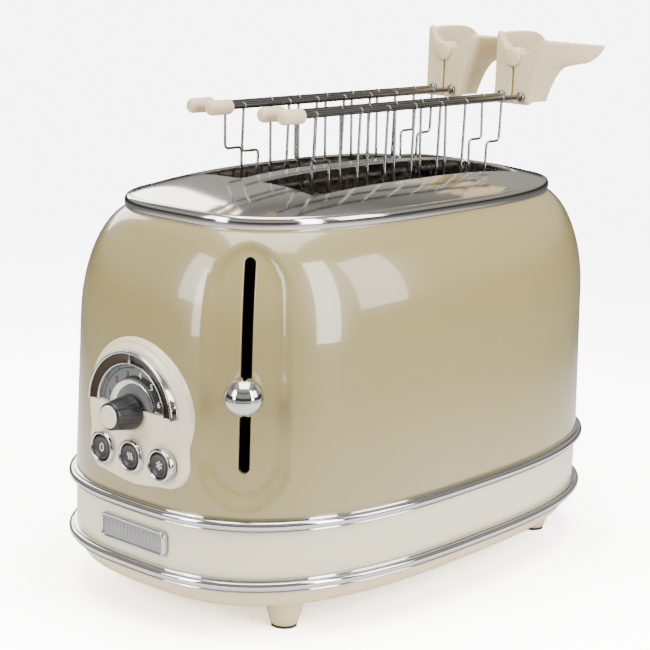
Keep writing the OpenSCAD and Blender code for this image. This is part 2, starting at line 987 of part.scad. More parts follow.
place_tong(1) rod_cap(-1);  // tong_rear_thumb_cap
place_tong(1) rod_cap(1);  // tong_rear_grip_cap
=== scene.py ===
import math

import bmesh
import bpy
import numpy as np
from mathutils import Matrix, Vector
from mathutils.geometry import delaunay_2d_cdt

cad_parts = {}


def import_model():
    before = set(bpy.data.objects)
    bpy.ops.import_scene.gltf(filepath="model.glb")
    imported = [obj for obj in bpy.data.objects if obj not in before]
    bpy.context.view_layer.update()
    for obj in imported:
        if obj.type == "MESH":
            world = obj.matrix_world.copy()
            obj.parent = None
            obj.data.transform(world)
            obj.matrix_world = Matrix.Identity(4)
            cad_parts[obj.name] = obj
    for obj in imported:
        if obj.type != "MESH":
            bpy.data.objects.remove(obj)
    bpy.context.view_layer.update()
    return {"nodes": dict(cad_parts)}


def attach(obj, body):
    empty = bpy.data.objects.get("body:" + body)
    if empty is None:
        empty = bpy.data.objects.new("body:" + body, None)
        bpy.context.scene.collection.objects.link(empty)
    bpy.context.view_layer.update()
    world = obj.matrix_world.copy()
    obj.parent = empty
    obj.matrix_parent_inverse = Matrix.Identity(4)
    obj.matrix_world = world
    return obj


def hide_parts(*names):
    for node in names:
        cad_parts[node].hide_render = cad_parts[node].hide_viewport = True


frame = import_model()
scene = bpy.context.scene
nodes = frame["nodes"]
MM = 0.001

# ---------- Camera and light (metres) ----------

CAMERA_AT, CAMERA_AIM = (-0.70804, -0.61008, 0.33650), (0, 0, 0.1257)
CAMERA_ROLL, FOCAL_MM, CAMERA_SHIFT = 2, 99.1, (-0.0287, -0.005)
# What the camera sees of the white paper: its brightness behind the object, and its tone under it
PAPER_GLOW, PAPER_TONE = 7.0, 4.2

def new_object(name, data):
    ob = bpy.data.objects.new(name, data)
    scene.collection.objects.link(ob)
    return ob

def node(tree, kind, **values):
    """A new shader node with its inputs set. An underscore in a key stands for a space."""
    n = tree.nodes.new("ShaderNode" + kind)
    for key, value in values.items():
        n.inputs[key.replace("_", " ")].default_value = value
    return n

def place_camera():
    data = bpy.data.cameras.new("camera")
    cam = new_object("camera", data)
    at = Vector(CAMERA_AT)
    f = (Vector(CAMERA_AIM) - at).normalized()
    r = f.cross(Vector((0, 0, 1))).normalized()
    u = r.cross(f)
    k, s = math.cos(math.radians(CAMERA_ROLL)), math.sin(math.radians(CAMERA_ROLL))
    x, y = r * k + u * s, u * k - r * s
    m = Matrix((x, y, -f)).transposed().to_4x4()
    m.translation = at
    cam.matrix_world = m
    data.lens = FOCAL_MM
    data.shift_x, data.shift_y = CAMERA_SHIFT
    scene.camera = cam

place_camera()

def area(name, at, aim, size, power, size_y=None):
    data = bpy.data.lights.new(name, "AREA")
    data.energy = power
    data.size = size
    if size_y:
        data.shape = "RECTANGLE"
        data.size_y = size_y
    ob = new_object(name, data)
    ob.location = at
    ob.rotation_euler = (Vector(aim) - Vector(at)).to_track_quat("-Z", "Y").to_euler()
    ob.visible_camera = False

area("overhead", (-0.1, -0.1, 1.5), (0, 0, 0.1), 1.2, 34)
area("card_right", (-0.05, -0.66, 0.36), (0, 0, 0.2), 0.16, 5.0, 0.62)
area("card_left", (-0.92, 0.1, 0.36), (0, 0, 0.2), 0.2, 4.0, 0.6)
area("fill_front", (0.75, -1.5, 0.8), (0.05, 0, 0.1), 0.6, 16, 1.0)
area("fill_left", (-1.5, 0.5, 0.9), (0, 0, 0.12), 0.6, 16, 1.0)
area("back", (0.5, 1.4, 0.9), (0, 0, 0.12), 0.9, 16, 0.9)

def world():
    w = bpy.data.worlds.new("studio")
    scene.world = w
    w.use_nodes = True
    nt = w.node_tree
    link = nt.links.new
    studio = nt.nodes["Background"]
    studio.inputs[1].default_value = 1.0
    sep, ramp = node(nt, "SeparateXYZ"), node(nt, "ValToRGB")
    link(node(nt, "TexCoord").outputs["Generated"], sep.inputs[0])
    link(sep.outputs["Z"], ramp.inputs[0])
    link(ramp.outputs[0], studio.inputs[0])
    e = ramp.color_ramp.elements
    e[0].position, e[0].color = 0.0, (0.05, 0.047, 0.042, 1)
    e[1].position, e[1].color = 0.9, (0.9, 0.89, 0.87, 1)
    for at, tone in ((0.07, 0.07), (0.17, 0.50), (0.42, 0.60), (0.60, 0.26)):
        e.new(at).color = (tone, tone * 0.965, tone * 0.89, 1)
    # The background behind the object is plain white paper
    white = node(nt, "Background", Color=(1, 1, 1, 1), Strength=PAPER_GLOW)
    mix = node(nt, "MixShader")
    link(node(nt, "LightPath").outputs["Is Camera Ray"], mix.inputs[0])
    link(studio.outputs[0], mix.inputs[1])
    link(white.outputs[0], mix.inputs[2])
    link(mix.outputs[0], nt.nodes["World Output"].inputs[0])

world()

# ---------- Materials ----------

def srgb(r, g, b):
    def lin(c):
        c /= 255
        return c / 12.92 if c <= 0.04045 else ((c + 0.055) / 1.055) ** 2.4
    return (lin(r), lin(g), lin(b), 1)

def material(name, a, b, rough, scale=60.0, metal=0.0, bump=0.02, depth=0.0002, stretch=(1, 1, 1),
             coat=0.0, coat_rough=0.05, spec=0.5, fine=900.0, detail=4.0):
    """Principled material whose colour, roughness and bump come from 3-D noise in object space."""
    m = bpy.data.materials.new(name)
    m.use_nodes = True
    nt = m.node_tree
    link = nt.links.new
    p = nt.nodes["Principled BSDF"]
    space = node(nt, "Mapping", Scale=stretch)
    link(node(nt, "TexCoord").outputs["Object"], space.inputs[0])
    big = node(nt, "TexNoise", Scale=scale, Detail=detail)
    small = node(nt, "TexNoise", Scale=fine, Detail=3)
    for noise in (big, small):
        link(space.outputs[0], noise.inputs["Vector"])
    mix = node(nt, "Mix")
    mix.data_type = "RGBA"
    mix.inputs["A"].default_value = a
    mix.inputs["B"].default_value = b
    link(big.outputs["Fac"], mix.inputs["Factor"])
    link(mix.outputs["Result"], p.inputs["Base Color"])
    gloss = node(nt, "MapRange", From_Min=0.3, From_Max=0.7, To_Min=rough[0], To_Max=rough[1])
    link(small.outputs["Fac"], gloss.inputs["Value"])
    link(gloss.outputs[0], p.inputs["Roughness"])
    relief = node(nt, "Bump", Strength=bump, Distance=depth)
    link(small.outputs["Fac"], relief.inputs["Height"])
    link(relief.outputs[0], p.inputs["Normal"])
    p.inputs["Metallic"].default_value = metal
    p.inputs["Coat Weight"].default_value = coat
    p.inputs["Coat Roughness"].default_value = coat_rough
    p.inputs["Specular IOR Level"].default_value = spec
    return m

PAINT = material("paint", srgb(148, 134, 88), srgb(151, 137, 91), (0.25, 0.265), 6, bump=0.001,
                 coat=1.0, coat_rough=0.035, fine=300)
IVORY = material("ivory_plastic", srgb(227, 216, 184), srgb(232, 222, 192), (0.26, 0.36), 14,
                 bump=0.03, coat=0.35, coat_rough=0.12)
CREAM = material("cream_plastic", srgb(222, 202, 160), srgb(228, 209, 168), (0.4, 0.52), 16,
                 bump=0.08, fine=1500)
STEEL = material("steel_plate", (0.56, 0.545, 0.51, 1), (0.64, 0.62, 0.585, 1), (0.06, 0.12), 20, metal=1,
                 bump=0.05, depth=0.00008, stretch=(0.12, 3.0, 1), fine=1400)
STEEL_IN = material("steel_wire", (0.50, 0.49, 0.47, 1), (0.62, 0.61, 0.59, 1), (0.18, 0.32), 40, metal=1,
                    bump=0.06, stretch=(1, 1, 0.2))
CHROME = material("chrome", (0.53, 0.525, 0.515, 1), (0.59, 0.585, 0.575, 1), (0.03, 0.07), 25, metal=1,
                  bump=0.01, depth=0.00005)
ROD = material("rod_chrome", (0.17, 0.165, 0.15, 1), (0.25, 0.24, 0.22, 1), (0.16, 0.26), 40, metal=1,
               bump=0.03, stretch=(0.1, 2, 2))
WIRE = material("wire_chrome", (0.25, 0.25, 0.245, 1), (0.36, 0.355, 0.345, 1), (0.12, 0.2), 60, metal=1,
                bump=0.03, stretch=(1, 1, 0.2))
ZINC = material("zinc_sheet", (0.36, 0.36, 0.35, 1), (0.52, 0.52, 0.51, 1), (0.28, 0.48), 55, metal=1,
                bump=0.08, detail=8)
MICA = material("mica_board", srgb(150, 132, 104), srgb(182, 165, 136), (0.45, 0.7), 90, bump=0.15,
                detail=9)
RIBBON = material("heater_ribbon", (0.16, 0.13, 0.11, 1), (0.30, 0.24, 0.2, 1), (0.4, 0.6), 120, metal=1,
                  bump=0.1)
BLACK = material("black_plastic", (0.005, 0.005, 0.0055, 1), (0.008, 0.008, 0.0085, 1), (0.28, 0.36), 60,
                 bump=0.015, fine=1600)
BUTTON = material("button_plastic", srgb(40, 36, 33), srgb(46, 42, 38), (0.3, 0.42), 80, bump=0.05)
RUBBER = material("rubber", (0.012, 0.012, 0.012, 1), (0.024, 0.024, 0.024, 1), (0.7, 0.85), 120, bump=0.3)
# Near-black smoked channel ring; the gold tone mixed in by noise is a painted glint, not the ring's own colour
SMOKED_WITH_GLINT = material("smoked_ring_painted_glint", (0.006, 0.004, 0.003, 1), (0.040, 0.022, 0.006, 1), (0.16, 0.24), 26,
                  bump=0.01, spec=0.22)
DIAL = material("dial_print", srgb(94, 94, 95), srgb(104, 104, 105), (0.42, 0.55), 120, bump=0.04)
INK = material("dial_ink", srgb(14, 12, 12), srgb(20, 18, 17), (0.4, 0.5), 200, bump=0.02)
INK_PALE = material("pale_ink", srgb(225, 222, 214), srgb(236, 233, 226), (0.45, 0.6), 200, bump=0.02)
INK_RED = material("red_ink", srgb(176, 60, 44), srgb(190, 74, 56), (0.45, 0.6), 200, bump=0.02)
BRUSHED = material("badge_steel", (0.24, 0.24, 0.235, 1), (0.33, 0.33, 0.32, 1), (0.3, 0.42), 50, metal=1,
                   bump=0.1, stretch=(1, 0.08, 4))
BOARD = material("circuit_board", srgb(24, 66, 38), srgb(34, 84, 50), (0.35, 0.5), 150, bump=0.1)

def floor_material():
    """White paper, lit high-key for the view and darker far out for what the metal mirrors."""
    m = bpy.data.materials.new("floor_paper")
    m.use_nodes = True
    nt = m.node_tree
    link = nt.links.new
    nt.nodes.remove(nt.nodes["Principled BSDF"])
    radius = node(nt, "VectorMath")
    radius.operation = "LENGTH"
    link(node(nt, "TexCoord").outputs["Object"], radius.inputs[0])

    def ramp(r0, r1, at_r0, at_r1):
        r = node(nt, "MapRange", From_Min=r0, From_Max=r1, To_Min=at_r0, To_Max=at_r1)
        link(radius.outputs["Value"], r.inputs["Value"])
        return r.outputs[0]

    seen = node(nt, "LightPath").outputs["Is Camera Ray"]
    tone = node(nt, "Mix")
    link(seen, tone.inputs["Factor"])
    link(ramp(0.26, 0.62, 0.80, 0.12), tone.inputs["A"])
    tone.inputs["B"].default_value = PAPER_TONE
    paper = node(nt, "BsdfDiffuse")
    link(tone.outputs["Result"], paper.inputs[0])
    glow = node(nt, "Emission", Strength=PAPER_GLOW)
    far = node(nt, "Math")
    far.operation = "MULTIPLY"
    link(seen, far.inputs[0])
    link(ramp(0.3, 1.1, 0.0, 1.0), far.inputs[1])
    mix = node(nt, "MixShader")
    link(far.outputs[0], mix.inputs[0])
    link(paper.outputs[0], mix.inputs[1])
    link(glow.outputs[0], mix.inputs[2])
    link(mix.outputs[0], nt.nodes["Material Output"].inputs[0])
    return m

def stage_floor():
    bm = bmesh.new()
    bmesh.ops.create_circle(bm, cap_ends=True, cap_tris=False, segments=96, radius=14)
    me = bpy.data.meshes.new("floor")
    bm.to_mesh(me)
    bm.free()
    me.materials.append(floor_material())
    new_object("floor", me)

stage_floor()

# ---------- Mesh helpers (all in millimetres) ----------

def face_outwards(me, weld=False):
    bm = bmesh.new()
    bm.from_mesh(me)
    if weld:
        bmesh.ops.remove_doubles(bm, verts=bm.verts, dist=1e-6)
    bmesh.ops.recalc_face_normals(bm, faces=bm.faces)
    bm.to_mesh(me)
    bm.free()

def piece(name, verts, faces, mat, body, replaces=(), normals=None, angle=40, recalc=False):
    """A visible piece. Its shading takes the given normals, or else is smooth with edges sharp from angle."""
    me = bpy.data.meshes.new(name)
    faces = [list(map(int, f)) for f in faces]
    if normals is not None:
        # A face that disagrees with its normals renders black, so it is turned over
        v, n = np.asarray(verts, float), np.asarray(normals, float)
        for q in faces:
            a, b, c = v[q[0]], v[q[1]], v[q[2]]
            g = np.cross(b - a, c - a) if len(q) == 3 else np.cross(c - a, v[q[3]] - b)
            if g.dot(n[q].sum(0)) < 0:
                q.reverse()
    me.from_pydata((np.asarray(verts, float) * MM).tolist(), [], faces)
    me.update()
    if recalc:
        face_outwards(me, weld=True)
    me.materials.append(mat)
    ob = new_object(name, me)
    me.shade_smooth()
    if normals is not None:
        me.normals_split_custom_set_from_vertices([tuple(n) for n in normals])
    elif angle:
        me.set_sharp_from_angle(angle=math.radians(angle))
    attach(ob, body)
    if replaces:
        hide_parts(*replaces)
    return ob

def bake(ob, angle=40):
    """Applies the object's modifiers and sets smooth shading with sharp edges."""
    dg = bpy.context.evaluated_depsgraph_get()
    me = bpy.data.meshes.new_from_object(ob.evaluated_get(dg))
    ob.modifiers.clear()
    ob.data = me
    me.shade_smooth()
    if angle:
        me.set_sharp_from_angle(angle=math.radians(angle))

def scratch(name, verts, faces):
    """A plain object for a modifier to use, or to be fused into a piece."""
    me = bpy.data.meshes.new(name)
    me.from_pydata((np.asarray(verts, float) * MM).tolist(), [], [list(map(int, f)) for f in faces])
    face_outwards(me)
    return new_object(name, me)

def grid_faces(rows, cols, wrap_rows=False, wrap_cols=False, base=0):
    """Quads between the rows of a grid of points, closed in either direction when asked."""
    return [(base + j * cols + i, base + j * cols + (i + 1) % cols,
             base + (j + 1) % rows * cols + (i + 1) % cols, base + (j + 1) % rows * cols + i)
            for j in range(rows if wrap_rows else rows - 1) for i in range(cols if wrap_cols else cols - 1)]

def grid_rim(rows, cols):
    """The border points of a grid, once round."""
    rim = list(range(cols)) + [j * cols + cols - 1 for j in range(1, rows)]
    rim += [(rows - 1) * cols + i for i in range(cols - 2, -1, -1)]
    return rim + [j * cols for j in range(rows - 2, 0, -1)]

def prism(a, b):
    """Solid between two flat loops of equally many points."""
    m = len(a)
    f = [tuple(range(m)), tuple(range(m, 2 * m))[::-1]]
    return a + b, f + [(i, m + i, m + (i + 1) % m, (i + 1) % m) for i in range(m)]

def box_mesh(a, b):
    x0, y0, z0 = a
    x1, y1, z1 = b
    v = [(x, y, z) for x in (x0, x1) for y in (y0, y1) for z in (z0, z1)]
    return v, [(0, 1, 3, 2), (4, 6, 7, 5), (0, 4, 5, 1), (2, 3, 7, 6), (0, 2, 6, 4), (1, 5, 7, 3)]

def lathe(profile, n=96, axis="z", at=(0, 0, 0), closed=False):
    """Turns a profile of (radius, height) points round an axis through at."""
    a = np.linspace(0, 2 * math.pi, n, endpoint=False)
    verts = []
    for r, h in profile:
        c, s = r * np.cos(a), r * np.sin(a)
        cols = {"z": (c, s, h + 0 * a), "x": (h + 0 * a, c, s)}[axis]
        verts += np.stack(cols, 1).tolist()
    return np.array(verts) + np.array(at), grid_faces(len(profile), n, closed, True)

def disc(x, length, y, z, r, n=48):
    """A closed cylinder along X."""
    v, f = lathe([(r, x), (r, x + length)], n, "x", (0, y, z))
    return v, f + [tuple(range(n))[::-1], tuple(range(n, 2 * n))]

def join(*parts):
    """Several meshes as one, with their points and faces in order."""
    verts, faces, base = [], [], 0
    for v, f in parts:
        verts.append(np.asarray(v, float).reshape(-1, 3))
        faces += [tuple(i + base for i in q) for q in f]
        base += len(v)
    return np.concatenate(verts), faces

def tube(path, r, n=12, caps=True):
    """A round tube along a list of points."""
    p = np.asarray(path, float)
    t = np.gradient(p, axis=0)
    t /= np.linalg.norm(t, axis=1)[:, None]
    ref = np.array([0.0, 1.0, 0.0]) if abs(t[0][1]) < 0.9 else np.array([1.0, 0, 0])
    verts = []
    for q, d in zip(p, t):
        u = ref - d * ref.dot(d)
        u /= np.linalg.norm(u)
        w = np.cross(d, u)
        ref = u
        for k in range(n):
            a = 2 * math.pi * k / n
            verts.append(q + r * (math.cos(a) * u + math.sin(a) * w))
    faces = grid_faces(len(p), n, False, True)
    if caps:
        faces += [tuple(range(n - 1, -1, -1)), tuple((len(p) - 1) * n + i for i in range(n))]
    return verts, faces

def rounded(path, r, steps=6):
    """The path with each inner corner turned into an arc-like curve of radius about r."""
    p = [np.array(q, float) for q in path]
    out = [p[0]]
    for a, b, c in zip(p, p[1:], p[2:]):
        d1, d2 = (a - b), (c - b)
        l1, l2 = np.linalg.norm(d1), np.linalg.norm(d2)
        k = min(r, l1 * 0.45, l2 * 0.45)
        s, e = b + d1 / l1 * k, b + d2 / l2 * k
        for i in range(steps + 1):
            t = i / steps
            out.append((1 - t) ** 2 * s + 2 * t * (1 - t) * b + t * t * e)
    out.append(p[-1])
    return out

def smooth(u):
    c = np.clip(u, 0, 1)
    return c * c * (3 - 2 * c)

def bisect(low, high, short):
    """The value between low and high at which short turns from true to false."""
    for _ in range(40):
        mid = (low + high) / 2
        low, high = (mid, high) if short(mid) else (low, mid)
    return low

# ---------- Plan outline ----------

# The housing's outline is a superellipse of this power and these half sizes
PLAN_N, HALF_L, HALF_W = 2.8, 155.0, 98.0

def plan(t, inset):
    """Points of the outline at parameter t (degrees), moved inwards by inset."""
    t = np.radians(t)
    c, s = np.cos(t), np.sin(t)
    x = HALF_L * np.sign(c) * np.abs(c) ** (2 / PLAN_N)
    y = HALF_W * np.sign(s) * np.abs(s) ** (2 / PLAN_N)
    gx = np.sign(x) * np.abs(x / HALF_L) ** (PLAN_N - 1) / HALF_L
    gy = np.sign(y) * np.abs(y / HALF_W) ** (PLAN_N - 1) / HALF_W
    g = np.hypot(gx, gy)
    return x - inset * gx / g, y - inset * gy / g

_t = np.linspace(0, 360, 40001)
_x, _y = plan(_t, 10.0)
_s = np.concatenate([[0], np.cumsum(np.hypot(np.diff(_x), np.diff(_y)))])
PERIMETER = _s[-1]

def t_at(s):
    return np.interp(np.mod(s, PERIMETER), _s, _t)

# The lever's place on the outline, and the direction outwards from it
LEVER_T = 211.1
LEVER_S = float(np.interp(LEVER_T, _t, _s))
LEVER_AT = np.array(plan(LEVER_T, 0.0))
LEVER_OUT = LEVER_AT - np.array(plan(LEVER_T, 1.0))
LEVER_SLOT = (5.2, 82, 182.6)  # width, lowest and highest z
BALL_Z = 122.0
ROUND = t_at(np.linspace(0, PERIMETER, 360, endpoint=False))

def sweep(profile, ts=ROUND, closed=True):
    """Sweeps (inset, z) points round the plan outline."""
    verts = []
    for inset, z in profile:
        x, y = plan(ts, inset)
        verts.append(np.stack([x, y, np.full(len(ts), float(z))], 1))
    return np.concatenate(verts), grid_faces(len(profile), len(ts), closed, True)

def inside(poly, pts):
    """Which points lie inside a closed polygon."""
    poly, pts = np.asarray(poly), np.asarray(pts)
    hit = np.zeros(len(pts), bool)
    x, y = pts[:, 0], pts[:, 1]
    for (x1, y1), (x2, y2) in zip(poly, np.roll(poly, -1, 0)):
        if y1 == y2:
            continue
        cross = ((y1 > y) != (y2 > y)) & (x < (x2 - x1) * (y - y1) / (y2 - y1) + x1)
        hit ^= cross
    return hit

def trimmed(grid, outer, holes, rings=()):
    """Triangulates grid points and loops; keeps what is inside outer and outside the holes."""
    pts, edges = [], []
    for loop in [outer, *holes, *rings]:
        base = len(pts)
        pts += [tuple(q) for q in loop]
        edges += [(base + i, base + (i + 1) % len(loop)) for i in range(len(loop))]
    keep = inside(outer, grid)
    for h in holes:
        keep &= ~inside(h, grid)
    loops = np.array(pts)
    g = np.asarray(grid)[keep]
    near = np.full(len(g), 1e9)
    for q in loops:
        near = np.minimum(near, np.hypot(g[:, 0] - q[0], g[:, 1] - q[1]))
    gap = np.median(np.hypot(*(np.diff(np.array(outer), axis=0).T))) * 0.45
    g = g[near > gap]
    pts += [tuple(q) for q in g]
    v, _, f, _, _, _ = delaunay_2d_cdt([Vector(q) for q in pts], edges, [], 0, 1e-7)
    v = np.array([tuple(q) for q in v])
    f = np.array([tuple(q) for q in f if len(q) == 3])
    mid = v[f].mean(1)
    ok = inside(outer, mid)
    for h in holes:
        ok &= ~inside(h, mid)
    return v, f[ok]

def stadium(w, z0, z1, grow, n=14):
    """Loop of (u, z) round an upright slot with round ends."""
    r = w / 2 + grow
    a0, a1 = z0 + w / 2, z1 - w / 2
    out = [(r * math.cos(a), a1 + r * math.sin(a)) for a in np.linspace(0, math.pi, n)]
    out += [(-r, z) for z in np.linspace(a1, a0, 34)[1:-1]]
    out += [(r * math.cos(a), a0 + r * math.sin(a)) for a in np.linspace(math.pi, 2 * math.pi, n)]
    out += [(r, z) for z in np.linspace(a0, a1, 34)[1:-1]]
    return out

# ---------- Painted shell ----------

SHELL_Z0, SHOULDER_Z, SHOULDER_RISE, SEAM_Z = 61.6, 141.0, 54.6, 195.0

def shell_inset(z):
    """How far the wall stands inside the outline: a slight lean, then the round shoulder."""
    u = np.clip((z - SHOULDER_Z) / SHOULDER_RISE, 0, 1)
    return 3.7 + 0.027 * (z - SHELL_Z0) + 27 * (1 - np.sqrt(1 - u * u))

def shell_profile():
    """The wall's length from its foot, inset and height, row by row, with a flat turned-in top."""
    zs = list(np.linspace(SHELL_Z0, SHOULDER_Z, 120)[:-1])
    top = math.asin((SEAM_Z - 0.6 - SHOULDER_Z) / SHOULDER_RISE)
    zs += [SHOULDER_Z + SHOULDER_RISE * math.sin(a) for a in np.linspace(0, top, 160)]
    z = np.array(zs)
    i = shell_inset(z)
    z = np.append(z, z[-1] + 0.1)
    i = np.append(i, 34.0)
    v = np.concatenate([[0], np.cumsum(np.hypot(np.diff(z), np.diff(i)))])
    return v, i, z

PV, PI, PZ = shell_profile()
V_MAX = PV[-1]

def shell_point(s, v):
    """The painted surface at length s round the outline and v up the wall, with the lever's recess."""
    t = t_at(s)
    inset, z = np.interp(v, PV, PI), np.interp(v, PV, PZ)
    x4, y4 = plan(t, 4.0)
    lx, ly = plan(LEVER_T, 4.0)
    d = np.hypot(np.hypot(x4 - lx, y4 - ly), np.maximum(0, np.maximum(z - 168, 88 - z)))
    dip = 3.6 * smooth((22.6 - d) / 7.0)
    x, y = plan(t, inset + dip)
    return np.stack([x, y, z], -1)

def shell_normal(s, v):
    e = 0.35
    a = shell_point(s + e, v) - shell_point(s - e, v)
    b = shell_point(s, np.minimum(v + e, V_MAX)) - shell_point(s, np.maximum(v - e, 0))
    n = np.cross(a, b)
    return n / np.linalg.norm(n, axis=-1)[..., None]

def make_shell():
    normal = LEVER_OUT
    along = np.array([-normal[1], normal[0]])

    def locate(u, z):
        """Shell coordinates of the point u along the wall from the slot's middle, at height z."""
        v = float(np.interp(z, PZ, PV))

        def short(s):
            return (shell_point(s, v)[:2] - LEVER_AT).dot(along) < u
        return bisect(LEVER_S - 14, LEVER_S + 14, short), v

    roll = 0.8
    edge = [locate(u, z) for u, z in stadium(*LEVER_SLOT, roll)]
    start = LEVER_S - PERIMETER / 2
    cols = np.linspace(start, start + PERIMETER, 331)
    rows = np.concatenate([np.linspace(0, PV[119], 30), np.linspace(PV[119], PV[-2], 30)[1:]])
    outer = [(s, 0) for s in cols[:-1]] + [(cols[-1], v) for v in rows]
    outer += [(s, V_MAX) for s in cols[:0:-1]] + [(cols[0], v) for v in [V_MAX, *rows[:0:-1]]]
    grid = np.array([(s, v) for v in rows[1:] for s in cols[1:-1]])
    flat, faces = trimmed(grid, outer, [edge])
    faces = faces.tolist()
    verts = [shell_point(flat[:, 0], flat[:, 1])]
    normals = [shell_normal(flat[:, 0], flat[:, 1])]
    # The slot's edge rolls inwards
    mouth = stadium(*LEVER_SLOT, 0)
    away = np.array(stadium(*LEVER_SLOT, 1)) - np.array(mouth)
    sv, sg = np.array([locate(u, z) for u, z in mouth]), np.array(edge)
    at, at_n = shell_point(sv[:, 0], sv[:, 1]), shell_normal(sv[:, 0], sv[:, 1])
    out = np.stack([away[:, 0] * along[0], away[:, 0] * along[1], away[:, 1]], 1)
    inward = -np.array([*normal, 0.0])
    steps = 6
    faces += [tuple(q) for q in grid_faces(steps + 2, len(mouth), False, True, len(flat))]
    for k in range(steps + 1):
        a = math.pi / 2 * k / steps
        if k == 0:
            verts.append(shell_point(sg[:, 0], sg[:, 1]))
            normals.append(shell_normal(sg[:, 0], sg[:, 1]))
        else:
            verts.append(at + out * roll * (1 - math.sin(a)) + inward * roll * (1 - math.cos(a)))
            normals.append(at_n * math.cos(a) - out * math.sin(a))
    verts.append(at + inward * 3.2)
    normals.append(-out)
    piece("shell_skin", np.concatenate(verts), faces, PAINT, "housing", ["body_shell"],
          normals=np.concatenate(normals))
    # Dark inner wall, seen only through the lever's slot
    lining = [(shell_inset(z) + 5.2, z) for z in np.linspace(62, 190, 24)]
    ts = [t for t in ROUND if abs(t - LEVER_T) > 4.2]
    v, fc = sweep(lining, np.array(ts), closed=False)
    gap = int(np.argmax(np.diff(ts)))
    fc = [q for i, q in enumerate(fc) if i % len(ts) != gap]
    piece("shell_lining", v, fc, ZINC, "housing")

make_shell()

# ---------- Top plate ----------

CREASE_Z = 200.4
# The bread slots in X, and in Y on either side of the middle
SLOT_X, SLOT_Y = (-75, 91.5), (5.8, 43.4)
_cx, _cy = plan(_t, 30.0)
_ca = np.unwrap(np.arctan2(_cy, _cx))
_cr = np.hypot(_cx, _cy)

def dome(x, y):
    """Height of the plate's top."""
    a = np.mod(np.arctan2(y, x), 2 * math.pi)
    s = np.minimum(np.hypot(x, y) / np.interp(a, _ca, _cr), 1.0)
    return CREASE_Z + 11 * (1 - s ** 3)

def dome_normal(x, y):
    e = 0.5
    gx = (dome(x + e, y) - dome(x - e, y)) / (2 * e)
    gy = (dome(x, y + e) - dome(x, y - e)) / (2 * e)
    n = np.stack([-gx, -gy, np.ones_like(gx)], -1)
    return n / np.linalg.norm(n, axis=-1)[..., None]

def slot_loop(side, grow):
    """Rounded rectangle round one bread slot, with the outward direction at each point."""
    r = 3.2
    x0, x1 = SLOT_X[0] + r, SLOT_X[1] - r
    y0, y1 = sorted(side * y for y in SLOT_Y)
    y0, y1 = y0 + r, y1 - r
    pts, out = [], []
    corners = [np.array(c, float) for c in ((x1, y0), (x1, y1), (x0, y1), (x0, y0))]
    for j, c in enumerate(corners):
        for a in np.linspace(-math.pi / 2, 0, 7) + j * math.pi / 2:
            d = np.array([math.cos(a), math.sin(a)])
            pts.append(c + d * (r + grow))
            out.append(d)
        d = np.array([math.cos(j * math.pi / 2), math.sin(j * math.pi / 2)])
        spans = 16 if j % 2 == 0 else 70
        for t in np.linspace(0, 1, spans + 1)[1:-1]:
            pts.append(c + (corners[(j + 1) % 4] - c) * t + d * (r + grow))
            out.append(d)
    return np.array(pts), np.array(out)

def make_top_plate():
    roll, skirt_z = 1.5, 198.4
    outer = np.stack(plan(ROUND, 30.02), 1)
    holes = [slot_loop(s, roll)[0] for s in (-1, 1)]
    gx, gy = np.meshgrid(np.arange(-126, 127, 2.1), np.arange(-69, 70, 2.1))
    flat, faces = trimmed(np.stack([gx.ravel(), gy.ravel()], 1), outer, holes)
    faces = faces.tolist()
    pts = np.stack([flat[:, 0], flat[:, 1], dome(flat[:, 0], flat[:, 1])], 1)
    nor = dome_normal(flat[:, 0], flat[:, 1])
    # Normals at the crease are taken a little inside, so that the dome's edge stays crisp
    edge = np.abs(pts[:, 2] - CREASE_Z) < 0.15
    nor[edge] = dome_normal(flat[edge, 0] * 0.985, flat[edge, 1] * 0.985)
    verts, normals = [pts], [nor]
    base, steps = len(pts), 7
    for side in (-1, 1):
        mouth, out = slot_loop(side, 0)
        m = len(mouth)
        for j in range(steps + 1):
            a = math.pi / 2 * j / steps
            q = mouth + out * roll * (1 - math.sin(a))
            z = dome(q[:, 0], q[:, 1]) - roll * (1 - math.cos(a))
            nn = dome_normal(q[:, 0], q[:, 1]) * math.cos(a)
            nn[:, :2] -= out * math.sin(a)
            verts.append(np.column_stack([q, z]))
            normals.append(nn / np.linalg.norm(nn, axis=1)[:, None])
        verts.append(np.column_stack([q, np.full(m, skirt_z)]))
        normals.append(np.column_stack([-out, np.zeros(m)]))
        faces += [(b, a, d, c) for a, b, c, d in grid_faces(steps + 2, m, False, True, base)]
        base += m * (steps + 2)
    piece("plate_dome", np.concatenate(verts), faces, STEEL, "housing", ["top_plate"],
          normals=np.concatenate(normals))
    rim = [(30.0, 200.42), (29.2, 200.4), (28.6, 200.25), (28.0, 199.85), (27.5, 199.2), (27.15, 198.3),
           (27.0, 197.2), (27.05, 196.2), (27.3, 195.2), (27.45, 194.4), (27.6, 193.9), (29.5, 194.2)]
    v, fc = sweep(rim, closed=False)
    piece("plate_rim", v, [q[::-1] for q in fc], STEEL, "housing", angle=50)

make_top_plate()

# ---------- Rings, band and base ----------

FOOT_X, FOOT_Y = 104, 58
GLAND_Y, GLAND_Z = 62, 20.6

def ring_profile(z0, z1):
    """A proud bead between two thin flanges."""
    out = [(6.4, z0 - 0.1), (2.6, z0 - 0.1), (2.0, z0 + 0.15), (1.75, z0 + 0.5), (1.9, z0 + 0.95)]
    lo, hi = z0 + 1.15, z1 - 0.75
    c, half = (lo + hi) / 2, (hi - lo) / 2
    out += [(2.4 - 2.38 * math.cos(a) ** 0.8, c + half * math.sin(a))
            for a in np.radians(np.linspace(-86, 86, 19))]
    out += [(2.2, z1 - 0.6), (1.95, z1 - 0.35), (2.1, z1 - 0.05), (2.6, z1 + 0.1), (6.4, z1 + 0.1)]
    return out

